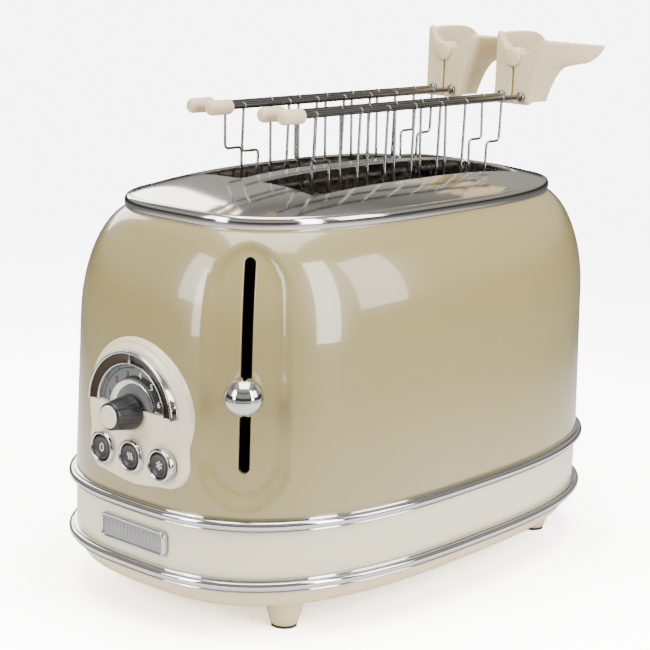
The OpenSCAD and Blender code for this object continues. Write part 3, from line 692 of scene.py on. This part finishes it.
def make_base():
    for name, node_name, z0, z1 in (("ring_upper", "upper_trim_ring", 55.2, 61.6),
                                    ("ring_lower", "lower_trim_ring", 25.4, 31.8)):
        v, f = sweep(ring_profile(z0, z1))
        piece(name, v, f, CHROME, "housing", [node_name], angle=38, recalc=True)
    v, f = sweep([(6.2, 31.4), (4.5, 31.4), (4.2, 32.2), (4.05, 38), (4.0, 43.5), (4.05, 49), (4.2, 54.8),
                  (4.5, 55.6), (6.2, 55.6)])
    piece("band_skin", v, f, IVORY, "housing", ["base_band"], angle=60, recalc=True)
    # Pan with its floor, cut for the tray, the vents and the cord
    prof = [(40, 15.0), (13.6, 15.0), (12.6, 15.1), (11.5, 15.4), (10.2, 16.05), (8.9, 17.2), (7.7, 18.9),
            (6.7, 20.9), (5.9, 23.1), (5.4, 25.4), (7.8, 25.4), (9.2, 19.4), (12.4, 16.4), (40, 16.4)]
    n = len(ROUND)
    v, f = sweep(prof, closed=False)
    f = list(f) + [tuple(range(n))[::-1], tuple((len(prof) - 1) * n + i for i in range(n))]
    ob = piece("pan_skin", v, f, CREAM, "housing", ["base_pan"], recalc=True)
    cuts = [box_mesh((120, -45.4, 16.4), (170, 45.4, 23.8))]
    cuts += [box_mesh((x, -26, 13), (x + 4, 26, 19)) for x in range(-50, 71, 20)]
    cuts += [disc(118, 47, GLAND_Y, GLAND_Z, 4.05, 24)]
    for k, (cv, cf) in enumerate(cuts):
        cutter = scratch(f"cut{k}", cv, cf)
        mod = ob.modifiers.new("cut", "BOOLEAN")
        mod.object = cutter
        mod.solver = "EXACT"
        bake(ob)
        bpy.data.objects.remove(cutter)
    # Feet that flare softly into the pan, with an eased lower edge and a bore for the pad and the screw
    foot = [(3.2, 1.3), (5.6, 1.2), (6.2, 1.35), (6.65, 1.8), (6.95, 2.6), (7.6, 4.6), (8.3, 7.0), (9.0, 9.4),
            (9.7, 11.6), (10.4, 13.2), (11.2, 14.3), (12.4, 14.95), (12.4, 15.5)]
    bore = [(3.2, 1.3), (3.2, 4.0), (1.6, 4.0)]
    v, f = join(*(lathe(prof, n, "z", (x * FOOT_X, y * FOOT_Y, 0))
                  for prof, n in ((foot, 64), (bore, 32)) for x in (-1, 1) for y in (-1, 1)))
    piece("feet_moulded", v, f, CREAM, "housing", ["feet"])

make_base()

# ---------- Control end ----------

PANEL_Y, DIAL_Z, BUTTON_Z, PITCH = -1.5, 105.0, 83.0, 20.2
BUTTON_DZ = BUTTON_Z - DIAL_Z
FACE_X, BADGE_Z = -152.2, 43.5

def outline_sdf(y, z):
    """Signed distance (positive inside) of the panel's keyhole outline, centred on the dial."""
    arch = 35.5 - np.hypot(y, z)
    lobe = 12 - np.hypot(np.maximum(np.abs(y) - 22, 0), z - BUTTON_DZ)
    blend = 5.0
    h = np.clip(0.5 + 0.5 * (lobe - arch) / blend, 0, 1)
    return lobe * h + arch * (1 - h) + blend * h * (1 - h)

def end_x(y, z):
    """The shell's outside at the control end. y and z are from the dial's centre."""
    yy = np.clip(np.abs(y + PANEL_Y), 0, 90)
    zz = z + DIAL_Z
    ins = 3.7 + 0.027 * (zz - SHELL_Z0)
    a, b = HALF_L - ins, HALF_W - ins
    return -a * (1 - (yy / b) ** PLAN_N) ** (1 / PLAN_N)

def panel_x(y, z):
    """The panel's face: a rounded edge, a raised half round for the dial, and dips round the buttons."""
    d, r, thick = outline_sdf(y, z), np.hypot(y, z), 2.4
    e = np.clip(d / thick, 0, 1)
    t = thick * np.sqrt(np.clip(1 - (1 - e) ** 2, 0, 1))
    t += 1.25 * smooth(np.minimum(33.2 - r, z + 2.4) / 3.2)
    t = np.maximum(t, np.where(z < 1.4, thick + 0.5 * smooth((12.6 - r) / 2.6), 0) * (d > thick))
    for k in (-1, 0, 1):
        t -= 0.45 * smooth((10.6 - np.hypot(y - k * PITCH, z - BUTTON_DZ)) / 1.6) * (d > 2)
    return end_x(y, z) - t

def make_panel():
    th = math.asin(-1.5 / 29.5)
    mid_z = -10

    def ray(angle, depth):
        """Where a ray from the panel's middle comes within depth of the outline."""
        c, s = math.cos(angle), math.sin(angle)
        reach = bisect(2.0, 48.0, lambda r: outline_sdf(r * c, r * s + mid_z) > depth)
        return (reach * c, reach * s + mid_z)

    angles = np.linspace(0, 2 * math.pi, 240, endpoint=False)
    loops = [[ray(a, d) for a in angles] for d in (0.001, 0.12, 0.4, 0.85, 1.4, 1.95, 2.5)]
    arc = np.linspace(-th, math.pi + th, 110)
    dial_hole = [(29.4 * math.cos(a), 29.4 * math.sin(a)) for a in arc]
    dial_hole += [(y, 1.5) for y in np.linspace(dial_hole[-1][0], dial_hole[0][0], 50)[1:-1]]
    holes = [dial_hole]
    for k in (-1, 0, 1):
        holes.append([(k * PITCH + 8.35 * math.cos(a), BUTTON_DZ + 8.35 * math.sin(a))
                      for a in np.linspace(0, 2 * math.pi, 48, endpoint=False)])
    gy, gz = np.meshgrid(np.arange(-38, 38.1, 0.8), np.arange(-36, 37, 0.8))
    grid = np.stack([gy.ravel(), gz.ravel()], 1)
    grid = grid[outline_sdf(grid[:, 0], grid[:, 1]) > 2.9]
    flat, faces = trimmed(grid, loops[0], holes, loops[1:])
    faces = faces.tolist()
    y, z = flat[:, 0], flat[:, 1]
    e = 0.12
    slope_y = (panel_x(y + e, z) - panel_x(y - e, z)) / (2 * e)
    slope_z = (panel_x(y, z + e) - panel_x(y, z - e)) / (2 * e)
    nor = np.stack([-np.ones_like(y), slope_y, slope_z], 1)
    nor /= np.linalg.norm(nor, axis=1)[:, None]
    verts, normals = [np.stack([panel_x(y, z), y + PANEL_Y, z + DIAL_Z], 1)], [nor]
    # Walls from the outline and from each hole back to the shell
    base = len(flat)
    for loop in [loops[0]] + holes:
        q = np.array(loop)
        m = len(q)
        d = np.roll(q, -1, 0) - np.roll(q, 1, 0)
        n2 = np.stack([d[:, 1], -d[:, 0]], 1)
        n2 /= np.linalg.norm(n2, axis=1)[:, None]
        if loop is not loops[0]:
            n2 = -n2
        for x in (panel_x(q[:, 0], q[:, 1]), end_x(q[:, 0], q[:, 1]) + 0.5):
            verts.append(np.column_stack([x, q[:, 0] + PANEL_Y, q[:, 1] + DIAL_Z]))
            normals.append(np.column_stack([np.zeros(m), n2]))
        faces += grid_faces(2, m, False, True, base)
        base += 2 * m
    piece("panel_moulding", np.concatenate(verts), faces, IVORY, "housing", ["control_panel"],
          normals=np.concatenate(normals))

make_panel()

def arc_sweep(profile, drop, n=120):
    """Sweeps closed (radius, x) points round the dial's arch, ending on the line z = -drop."""
    verts = []
    for r, x in profile:
        th = math.asin(drop / r)
        a = np.linspace(-th, math.pi + th, n)
        verts.append(np.stack([np.full(n, x), PANEL_Y + r * np.cos(a), DIAL_Z + r * np.sin(a)], 1))
    m = len(profile)
    faces = grid_faces(m, n, True, False)
    faces += [tuple(j * n for j in range(m)), tuple(j * n + n - 1 for j in range(m))[::-1]]
    return np.concatenate(verts), faces

def flat_shape(points, x, thick=0.12):
    """A thin raised shape on a face that looks along -X. points are (y, z) from the dial's centre."""
    return prism(*([(at, PANEL_Y + y, DIAL_Z + z) for y, z in points] for at in (x - thick, x + 0.3)))

def strip(points, width):
    """Outline of a stroke of even width along open (y, z) points."""
    p = np.array(points, float)
    d = np.gradient(p, axis=0)
    d /= np.linalg.norm(d, axis=1)[:, None]
    n = np.stack([-d[:, 1], d[:, 0]], 1) * width / 2
    return np.concatenate([p + n, (p - n)[::-1]]).tolist()

def polar(r, a):
    """The dial's (y, z) point at radius r and angle a, in degrees, 0 towards the front."""
    return (-r * math.cos(math.radians(a)), r * math.sin(math.radians(a)))

def glyph(text, name, size, at, mat, body, x):
    """Plain numeral facing -X, as a mesh."""
    cu = bpy.data.curves.new(name, "FONT")
    cu.body = text
    cu.size = size * MM
    cu.extrude = 0.05 * MM
    cu.align_x, cu.align_y = "CENTER", "CENTER"
    tmp = new_object(name + "_curve", cu)
    me = bpy.data.meshes.new_from_object(tmp.evaluated_get(bpy.context.evaluated_depsgraph_get()))
    bpy.data.objects.remove(tmp)
    me.transform(Matrix(((0, 0, -1, x * MM), (-1, 0, 0, (PANEL_Y + at[0]) * MM),
                         (0, 1, 0, (DIAL_Z + at[1]) * MM), (0, 0, 0, 1))))
    me.materials.clear()
    me.materials.append(mat)
    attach(new_object(name, me), body)

def make_dial():
    outer = [(29.5, -150.4), (29.5, -155.0), (29.35, -155.5), (28.95, -155.8), (28.5, -155.75),
             (28.2, -155.45), (28.1, -155.0), (28.1, -150.4)]
    arch = [(23.7, -152.0), (23.7, -154.3), (23.55, -154.6), (23.3, -154.7), (23.05, -154.6), (22.9, -154.3),
            (22.75, -153.6), (22.3, -152.3), (22.3, -151.4), (23.7, -151.4)]
    small = [(15.6, -152.1), (15.5, -153.3), (15.1, -153.75), (14.6, -153.6), (13.2, -152.7), (12.6, -152.1)]
    bar = [(-150.5, -0.7), (-152.6, -0.7), (-152.95, -0.4), (-153.0, 0), (-152.95, 0.4), (-152.6, 0.7),
           (-150.5, 0.7)]
    bars = [prism(*([(x, PANEL_Y + y, DIAL_Z + 2.2 + z) for x, z in bar] for y in span))
            for span in ((-28.2, -4.0), (4.0, 28.2))]
    v, f = join(arc_sweep(outer, -1.5), arc_sweep(arch, -1.5), arc_sweep(small, -2.4), *bars)
    piece("dial_bezel", v, f, CHROME, "housing", ["dial_frame"], angle=45, recalc=True)
    channel = [(28.15, -155.0), (27.4, -154.75), (25.6, -154.15), (24.4, -153.85), (23.65, -153.8),
               (23.65, -151.5), (28.15, -151.5)]
    v, f = arc_sweep(channel, -1.9)
    piece("dial_channel", v, f, SMOKED_WITH_GLINT, "housing", angle=50, recalc=True)
    # Index mark across the channel
    v, f = box_mesh((-155.5, PANEL_Y - 0.7, DIAL_Z + 23.4), (-153.4, PANEL_Y + 0.7, DIAL_Z + 28.4))
    ob = piece("dial_index", v, f, CHROME, "housing", recalc=True)
    bev = ob.modifiers.new("ease", "BEVEL")
    bev.width, bev.segments = 0.25 * MM, 3
    bake(ob)
    # Printed face: a plate with its arc line, ticks, dark sector, numerals and red mark
    face = [(22.4, FACE_X), (22.4, -150.6), (4.2, -150.6), (4.2, FACE_X)]
    v, f = arc_sweep(face, -2.4)
    piece("dial_plate", v, f, DIAL, "housing", ["dial_face"], recalc=True)
    shapes = [flat_shape(strip([polar(20.9, a) for a in np.linspace(174, 90, 40)], 0.4), FACE_X, 0.06)]
    angles = np.linspace(126, 8, 60)
    rim = [polar(16.0 + 5.6 * smooth((126 - a) / 110), a) for a in angles]
    root = [polar(16.0, a) for a in angles]
    for k in range(59):
        shapes.append(flat_shape([rim[k], rim[k + 1], root[k + 1], root[k]], FACE_X, 0.07))
    tick = ((20.7, -0.7), (21.9, -0.7), (21.9, 0.7), (20.7, 0.7))
    for a in np.linspace(174, 62, 5):
        shapes.append(flat_shape([polar(r, a + w) for r, w in tick], FACE_X, 0.05))
    v, f = join(*shapes)
    piece("dial_print_dark", v, f, INK, "housing", angle=30, recalc=True)
    for k in range(6):
        r, ink = (17.7, INK) if k < 3 else (18.6, INK_PALE)
        glyph(str(k + 1), f"dial_number_{k + 1}", 4.3, polar(r, 160 - 28.0 * k), ink, "housing", FACE_X - 0.14)
    mark = ((15.9, 137), (18.0, 140), (18.0, 137.5), (15.9, 134.5))
    v, f = flat_shape([polar(r, a) for r, a in mark], FACE_X, 0.1)
    piece("dial_mark", v, f, INK_RED, "housing", recalc=True)

make_dial()

def make_knob():
    body, n = "browning_dial", 144
    rows = [(0, -153.8), (7.9, -153.8), (8.4, -153.95), (8.62, -154.4), (8.6, -155.2), (8.42, -156.4),
            (8.15, -158.2), (7.75, -160.6), (7.3, -163.2), (6.95, -165.6), (6.78, -166.9), (6.6, -167.45),
            (6.25, -167.75), (5.7, -167.8), (5.55, -167.4), (5.55, -166.4), (0, -166.4)]
    verts = []
    for j, (r, x) in enumerate(rows):
        for i in range(n):
            a = 2 * math.pi * i / n
            flute = 0.16 * (0.5 - 0.5 * math.cos(24 * a)) if 5 <= j <= 9 else 0
            verts.append((x, PANEL_Y + (r - flute) * math.cos(a), DIAL_Z + (r - flute) * math.sin(a)))
    piece("knob_body", verts, grid_faces(len(rows), n, False, True), BLACK, body, ["browning_knob"],
          recalc=True, angle=35)
    cap = [(0, -166.6), (5.4, -166.6), (5.5, -167.9), (5.35, -168.35), (5.0, -168.55), (2.6, -168.6),
           (0, -168.6)]
    v, f = lathe(cap, 72, "x", (0, PANEL_Y, DIAL_Z))
    piece("knob_disc", v, f, IVORY, body, ["knob_cap"], recalc=True, angle=50)

make_knob()

def make_buttons():
    ring = [(8.4, -151.1), (8.4, -153.1), (8.33, -153.9), (8.1, -154.55), (7.75, -155.0), (7.3, -155.17),
            (6.85, -155.05), (6.5, -154.7), (6.28, -154.2), (6.2, -153.4), (6.2, -151.1)]
    v, f = join(*(lathe(ring, 80, "x", (0, PANEL_Y + k * PITCH, BUTTON_Z), closed=True) for k in (-1, 0, 1)))
    piece("bezel_rings", v, f, CHROME, "housing", ["button_bezels"], angle=40, recalc=True)
    cap = [(0, -154.15), (3.7, -154.2), (4.3, -154.3), (4.55, -154.6), (4.85, -154.8), (5.25, -154.8),
           (5.62, -154.6), (5.76, -154.1), (5.78, -150.9), (2.4, -150.9), (2.4, -132.2), (0, -132.2)]
    for name, k in {"cancel": 1, "reheat": 0, "defrost": -1}.items():
        v, f = lathe(cap, 72, "x", (0, PANEL_Y + k * PITCH, BUTTON_Z))
        piece(f"{name}_cap", v, f, BUTTON, name, [f"{name}_button"], recalc=True, angle=42)
        c, lines = np.array((k * PITCH, BUTTON_DZ)), []
        if name == "cancel":
            ring = [c + (1.15 * math.cos(a), 1.9 * math.sin(a)) for a in np.linspace(0, 2 * math.pi, 41)]
            lines.append((ring[:-1] + ring[:2], 0.55))
        elif name == "reheat":
            for j in (-1, 0, 1):
                lines.append(([c + (j * 1.25 + 0.4 * math.sin(u * 2 * math.pi), 1.7 - 3.4 * u)
                               for u in np.linspace(0, 1, 24)], 0.5))
        else:
            for j in range(3):
                a = math.pi * j / 3 + math.pi / 2
                d = np.array([math.cos(a), math.sin(a)])
                q = np.array([-d[1], d[0]])
                lines.append(([c - d * 2.2, c, c + d * 2.2], 0.42))
                for s in (-1, 1):
                    tip = c + d * s * 1.25
                    for w in (-1, 1):
                        end = tip + (d * s + q * w) * 0.55
                        lines.append(([tip, (tip + end) / 2, end], 0.34))
        v, f = join(*(flat_shape(strip(line, width), -154.17, 0.08) for line, width in lines))
        piece(f"{name}_symbol", v, f, INK_PALE, name, recalc=True, angle=30)

make_buttons()

def rounded_rect(w, h, r):
    out = []
    for sx, sz, a0 in ((1, 1, 0), (-1, 1, 90), (-1, -1, 180), (1, -1, 270)):
        for a in np.radians(np.linspace(a0, a0 + 90, 8)):
            out.append((sx * (w / 2 - r) + r * math.cos(a), sz * (h / 2 - r) + r * math.sin(a)))
    return out

def make_badge():
    layers = [(45, 13, 3.0, -150.6), (45, 13, 3.0, -152.3), (44.6, 12.6, 2.8, -152.9),
              (43.9, 11.9, 2.5, -153.2), (42.6, 10.6, 1.9, -153.15), (42.0, 10.0, 1.7, -152.8),
              (41.7, 9.7, 1.6, -152.2)]
    verts = [(x, PANEL_Y + y, BADGE_Z + z) for w, h, r, x in layers for y, z in rounded_rect(w, h, r)]
    piece("badge_rim", verts, grid_faces(len(layers), 32, False, True), CHROME, "housing", ["badge_frame"],
          recalc=True, angle=40)
    # Plain ribbed inset: no lettering
    ys, zs = np.linspace(-20.8, 20.8, 161), np.linspace(-4.8, 4.8, 21)

    def face_x(y, z):
        rib = 0.5 + 0.5 * np.cos(2 * math.pi * y / 2.6)
        field = smooth((18.6 - abs(y)) / 0.8) * smooth((3.3 - abs(z)) / 0.5)
        return -152.3 - 0.4 * rib ** 2 * field

    verts = [(float(face_x(y, z)), PANEL_Y + y, BADGE_Z + z) for z in zs for y in ys]
    piece("badge_ribs", verts, [q[::-1] for q in grid_faces(len(zs), len(ys))], BRUSHED, "housing",
          ["badge_inset"], angle=60)

make_badge()

# ---------- Lever ball ----------

def make_ball():
    r = 9.2
    x, y = plan(LEVER_T, 6.6 - r)
    centre = np.array([x, y, BALL_Z])
    prof = []
    for a in np.linspace(-90, 90, 91):
        if abs(a) < 1.9:
            continue
        prof.append((max(r * math.cos(math.radians(a)), 0.0), r * math.sin(math.radians(a))))
        if -4 < a < 0:
            # The parting groove round the middle
            prof += [(r - 0.02, -0.2), (r - 0.32, -0.12), (r - 0.32, 0.12), (r - 0.02, 0.2)]
    inward = -np.array([*LEVER_OUT, 0.0])
    neck = tube([centre + inward * k for k in (7.4, 8.4, 9.4, 10.5)], 4.0, 32)
    v, f = join(lathe(prof, 120, "z", centre), neck)
    piece("lever_knob", v, f, CHROME, "carriage", ["lever_ball"], angle=30, recalc=True)

make_ball()

# ---------- Tongs ----------

TONGS, HALVES = {"front": -24.3, "rear": 24.3}, {"thumb": -1, "grip": 1}
ROD_Z, ROD_GAP, HANDLE_X, CAP_X = 243.0, 6.6, 108.0, -87.0
PIVOT_DZ = 21.5  # the pin above the rods
CAGE_FOOT_Z, CAGE_KNEE_Z = 114.6, 220.0
WALL_HALF = 1.85

def catmull(points, n=8):
    """A smooth curve through the points."""
    p = [np.array(q, float) for q in points]
    p = [2 * p[0] - p[1]] + p + [2 * p[-1] - p[-2]]
    out = []
    for a, b, c, d in zip(p, p[1:], p[2:], p[3:]):
        for i in range(n):
            t = i / n
            out.append(0.5 * (2 * b + (c - a) * t + (2 * a - 5 * b + 4 * c - d) * t * t
                              + (3 * b - a - 3 * c + d) * t ** 3))
    out.append(p[-2])
    return np.array(out)

def thicken(grid, side):
    """A closed wall of even thickness about a grid of points, mirrored in y where side is -1."""
    rows, cols = grid.shape[:2]
    nn = np.cross(np.gradient(grid, axis=1), np.gradient(grid, axis=0))
    nn /= np.linalg.norm(nn, axis=2)[..., None]
    verts = np.concatenate([(grid + nn * h).reshape(-1, 3) for h in (WALL_HALF, -WALL_HALF)])
    verts[:, 1] *= side
    k, faces = rows * cols, []
    for a, b, c, d in grid_faces(rows, cols):
        faces += [(a, b, c, d), (k + a, k + d, k + c, k + b)]
    rim = grid_rim(rows, cols)
    return verts, faces + [(c, k + c, k + d, d) for c, d in zip(rim, rim[1:] + rim[:1])]

def wall_solid(low, high, side):
    """A curved plastic wall ruled between a low and a high curve."""
    t = np.linspace(0, 1, 14)[:, None, None]
    return thicken(catmull(low) * (1 - t) + catmull(high) * t, side)

def plate_solid(outline, side, x0, x1):
    return prism(*([(x, side * y, z) for y, z in outline] for x in (x0, x1)))

def moulded(parts, name, mat, body, replaces, offset):
    """Fuses overlapping closed solids and eases their edges, as one injection moulding."""
    objs = [scratch(f"{name}_{i}", v, f) for i, (v, f) in enumerate(parts)]
    bm = bmesh.new()
    for o in objs:
        bm.from_mesh(o.data)
        bpy.data.objects.remove(o)
    me = bpy.data.meshes.new(name)
    bm.to_mesh(me)
    bm.free()
    ob = new_object(name, me)
    fuse = ob.modifiers.new("fuse", "REMESH")
    fuse.mode = "VOXEL"
    fuse.voxel_size = 0.55 * MM
    ease = ob.modifiers.new("ease", "SMOOTH")
    ease.factor, ease.iterations = 0.5, 7
    bake(ob, angle=None)
    ob.data.materials.clear()
    ob.data.materials.append(mat)
    ob.data.transform(Matrix.Translation(Vector(offset) * MM))
    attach(ob, body)
    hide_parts(*replaces)

def flared_wall(section, reach, side):
    """A wall that follows a (y, z) section and runs back from the front face as far as reach says."""
    a, b = catmull([(1.9, y, z) for y, z in section], 6), catmull(reach, 6)
    t = np.linspace(0, 1, 30)[None, :, None]
    return thicken(a[:, None, :] * (1 - t) + b[:, None, :] * t, side)

# The grip half's wall, low and high edge
GRIP_LOW = [(1.9, 10.3, -2.6), (9, 10.3, -2.6), (17, 10.3, -2.4), (21, 10.3, 5), (25, 10.3, 13.5),
            (32, 10.3, 22), (42, 10.3, 26)]
GRIP_HIGH = [(1.9, 10.3, 34), (8, 10.3, 34.6), (15, 10.3, 34.9), (23, 10.3, 34.9), (31, 10.3, 34.4),
             (38, 10.3, 32.6), (44, 10.3, 28.6)]
# The thumb half's wall, its section at the front face and its back edge, point for point
THUMB_SECTION = [(10.3, -2.6), (10.8, 3), (11.9, 8.5), (13.4, 13.6), (15.2, 18.5), (17.0, 23.2),
                 (18.7, 27.6), (20.2, 31.6)]
THUMB_REACH = [(17.2, 10.3, -2.6), (19.4, 11.8, 5), (22.0, 13.8, 12), (25.0, 17.5, 17.8), (29.5, 23.8, 19.8),
               (35.5, 27.6, 20.8), (40.5, 29.8, 24.4), (43.4, 30.8, 28.8)]

def make_handle(tong, cy, half, side):
    """One moulded half. Its own frame has the tong's middle at y = 0 and the rods at z = 0."""
    if half == "thumb":
        front = [(0.5, -4.4), (10.8, -4.4), (11.9, -2.0), (13.2, 6), (15.2, 14), (17.6, 22), (20.6, 29.8),
                 (20.8, 31.4), (19.6, 32.4), (17.6, 31.2), (14.4, 28.0), (10.6, 25.6), (6.4, 24.2),
                 (5.0, 24.8), (0.5, 18)]
        parts = [flared_wall(THUMB_SECTION, THUMB_REACH, side), plate_solid(front, side, 0.05, 3.75),
                 disc(0.05, 3.7, 0, PIVOT_DZ, 5.3)]
    else:
        front = [(0.5, -4.4), (11, -4.4), (12.1, -2.8), (12.1, 34.4), (10.8, 35.6), (9.4, 33.6), (6.2, 28),
                 (4.6, 25.6), (5.6, 21), (4.6, 17), (0.5, 15.6)]
        lug = [(0.5, 12.4), (10.3, 9), (10.3, 30), (4, 25.2), (0.5, 22)]
        web = [(6.4, -3), (11.5, -3), (11.5, 29), (7.6, 27)]
        parts = [wall_solid(GRIP_LOW, GRIP_HIGH, side), plate_solid(front, side, 0.05, 3.75),
                 plate_solid(lug, side, 4.2, 8.2), disc(4.25, 3.9, 0, PIVOT_DZ, 5.3),
                 plate_solid(web, side, 2, 6.5)]
    moulded(parts, f"tong_{tong}_{half}_grip", CREAM, f"tong_{tong}_{half}_jaw",
            [f"tong_{tong}_{half}_handle"], (HANDLE_X, cy, ROD_Z))

def make_cage(tong, cy, half, side):
    name, body = f"tong_{tong}_{half}", f"tong_{tong}_{half}_jaw"
    lean = math.radians(1.5)
    rod_y = cy + side * ROD_GAP

    def put(x, z):
        """A point of the cage's own plane, leaned inwards about the rod."""
        return (x, rod_y + side * z * math.sin(lean), ROD_Z + z * math.cos(lean))

    foot, knee, top = CAGE_FOOT_Z - ROD_Z, CAGE_KNEE_Z - ROD_Z, 0.2
    parts = []
    for i in range(7):
        x = -50 + 21.5 * i
        if i in (0, 6):
            # The end wires step outwards above the plate
            x_top = -62 if i == 0 else 90
            path = rounded([put(x, foot), put(x, knee), put(x_top, knee), put(x_top, top)], 2.6)
        else:
            x_top = x
            path = [put(x, z) for z in np.linspace(foot, top, 8)]
        parts.append(tube(path, 0.72, 10))
        # Weld where the wire meets the rod
        weld = [(x_top, rod_y + 1.42 * math.cos(a), ROD_Z + 1.42 * math.sin(a))
                for a in np.linspace(0, 2 * math.pi, 25)]
        parts.append(tube(weld, 0.34, 8, caps=False))
    parts.append(tube([put(x, foot) for x in np.linspace(-51, 80, 30)], 0.95, 12))
    v, f = join(*parts)
    piece(name + "_wires", v, f, WIRE, body, [name + "_cage"], angle=50)
    # Rod, with a collar where it enters the handle
    rod = [(0.01, CAP_X + 4), (1.5, CAP_X + 4), (1.5, 106.2), (1.5, 111.6), (0.01, 111.6)]
    collar = [(1.5, 105.9), (2.2, 106.1), (2.75, 106.8), (2.85, 107.6), (2.7, 108.1), (1.5, 108.2)]
    v, f = join(*(lathe(prof, 32, "x", (0, rod_y, ROD_Z)) for prof in (rod, collar)))
    piece(name + "_bar", v, f, ROD, body, [name + "_rod"], angle=40, recalc=True)
    cap = [(0.01, 0)] + [(1.15 + 2.6 * math.sin(a), 2.6 - 2.6 * math.cos(a))
                         for a in np.radians(np.linspace(8, 90, 12))]
    cap += [(2.85 + 0.9 * math.cos(a), 14.1 + 0.9 * math.sin(a)) for a in np.radians(np.linspace(0, 90, 8))]
    cap += [(1.52, 15), (1.52, 12)]
    v, f = lathe(cap, 56, "x", (CAP_X, rod_y, ROD_Z))
    piece(name + "_end", v, f, CREAM, body, [name + "_cap"], angle=60, recalc=True)

def make_pin(tong, cy):
    pin = [(0.01, -2.0), (4.2, -1.95), (4.7, -1.75), (5.05, -1.4), (5.15, -0.9), (5.15, -0.35), (1.5, -0.3),
           (1.5, 8.8), (3.0, 8.8), (3.2, 9.0), (3.2, 9.8), (3.0, 10.0), (0.01, 10.0)]
    v, f = lathe(pin, 64, "x", (HANDLE_X, cy, ROD_Z + PIVOT_DZ))
    piece(f"tong_{tong}_rivet", v, f, CREAM, f"tong_{tong}", [f"tong_{tong}_pin"], angle=40,
          recalc=True)

for tong, cy in TONGS.items():
    make_pin(tong, cy)
    for half, side in HALVES.items():
        make_handle(tong, cy, half, side)
        make_cage(tong, cy, half, side)

# ---------- Tray front and cord gland ----------

def make_tray():
    """Tray with a smooth front that continues the pan's side, and a finger groove across it."""
    z0, z1, half_w, back_x = 16.8, 23.4, 45, 139.0
    ys, zs = np.linspace(-half_w, half_w, 121), np.linspace(z0, z1, 31)
    # The pan's side: height and inset from the plan outline
    side_z = [15.0, 15.4, 16.05, 17.2, 18.9, 20.9, 23.1, 25.4]
    side_inset = [13.6, 11.5, 10.2, 8.9, 7.7, 6.7, 5.9, 5.4]

    def front(y, z):
        ins = float(np.interp(z, side_z, side_inset))
        a, b = HALF_L - ins, HALF_W - ins
        groove = 1.8 * float(smooth((36 - abs(y)) / 5) * smooth((2.0 - abs(z - 19.8)) / 1.3))
        ease = 0.45 * float(smooth(1 - (half_w - abs(y)) / 0.9) + smooth(1 - min(z - z0, z1 - z) / 0.8))
        return a * (1 - (abs(y) / b) ** PLAN_N) ** (1 / PLAN_N) - groove - ease

    v = [(front(y, z), y, z) for z in zs for y in ys]
    f = grid_faces(len(zs), len(ys))
    rim, base = grid_rim(len(zs), len(ys)), len(v)
    n = len(rim)
    v += [(back_x, v[i][1], v[i][2]) for i in rim]
    f += [(rim[i], base + i, base + (i + 1) % n, rim[(i + 1) % n]) for i in range(n)]
    f.append(tuple(range(base, base + n)))
    piece("tray_front", v, f, CREAM, "tray", recalc=True, angle=50)
    v, f = join(box_mesh((-74, -44, 17), (139.5, 44, 17.8)), box_mesh((-74, -44, 17.8), (back_x, -43, 22.4)),
                box_mesh((-74, 43, 17.8), (back_x, 44, 22.4)), box_mesh((-74, -43, 17.8), (-73, 43, 22.4)))
    piece("tray_pan", v, f, ZINC, "tray", ["crumb_tray"], recalc=True)

make_tray()

def make_gland():
    prof = [(3.0, 120.1), (3.95, 120.0), (4.0, 139.9), (5.7, 140.0), (6.0, 140.4), (6.0, 142.2), (5.6, 142.85),
            (4.8, 143.0), (3.5, 142.9), (3.1, 142.4), (3.0, 141.6)]
    v, f = lathe(prof, 64, "x", (0, GLAND_Y, GLAND_Z), closed=True)
    piece("gland_ring", v, f, RUBBER, "housing", ["cord_gland"], angle=45, recalc=True)

make_gland()

# ---------- Materials of the CAD nodes that stay in view ----------

for mat, names in (
    (ZINC, "chassis_left chassis_right centre_divider carriage_bracket armature_plate potentiometer"),
    (STEEL_IN, "reflector_front reflector_rear bread_guards_front bread_guards_rear bread_lift_front "
               "bread_lift_rear lever_stem carriage_spring base_screws"),
    (MICA, "heater_cards"),
    (RIBBON, "heater_windings"),
    (CHROME, "guide_rods"),
    (BLACK, "latch_magnet"),
    (BOARD, "control_board"),
    (RUBBER, "foot_pads"),
):
    for name in names.split():
        me = nodes[name].data
        me.materials.clear()
        me.materials.append(mat)
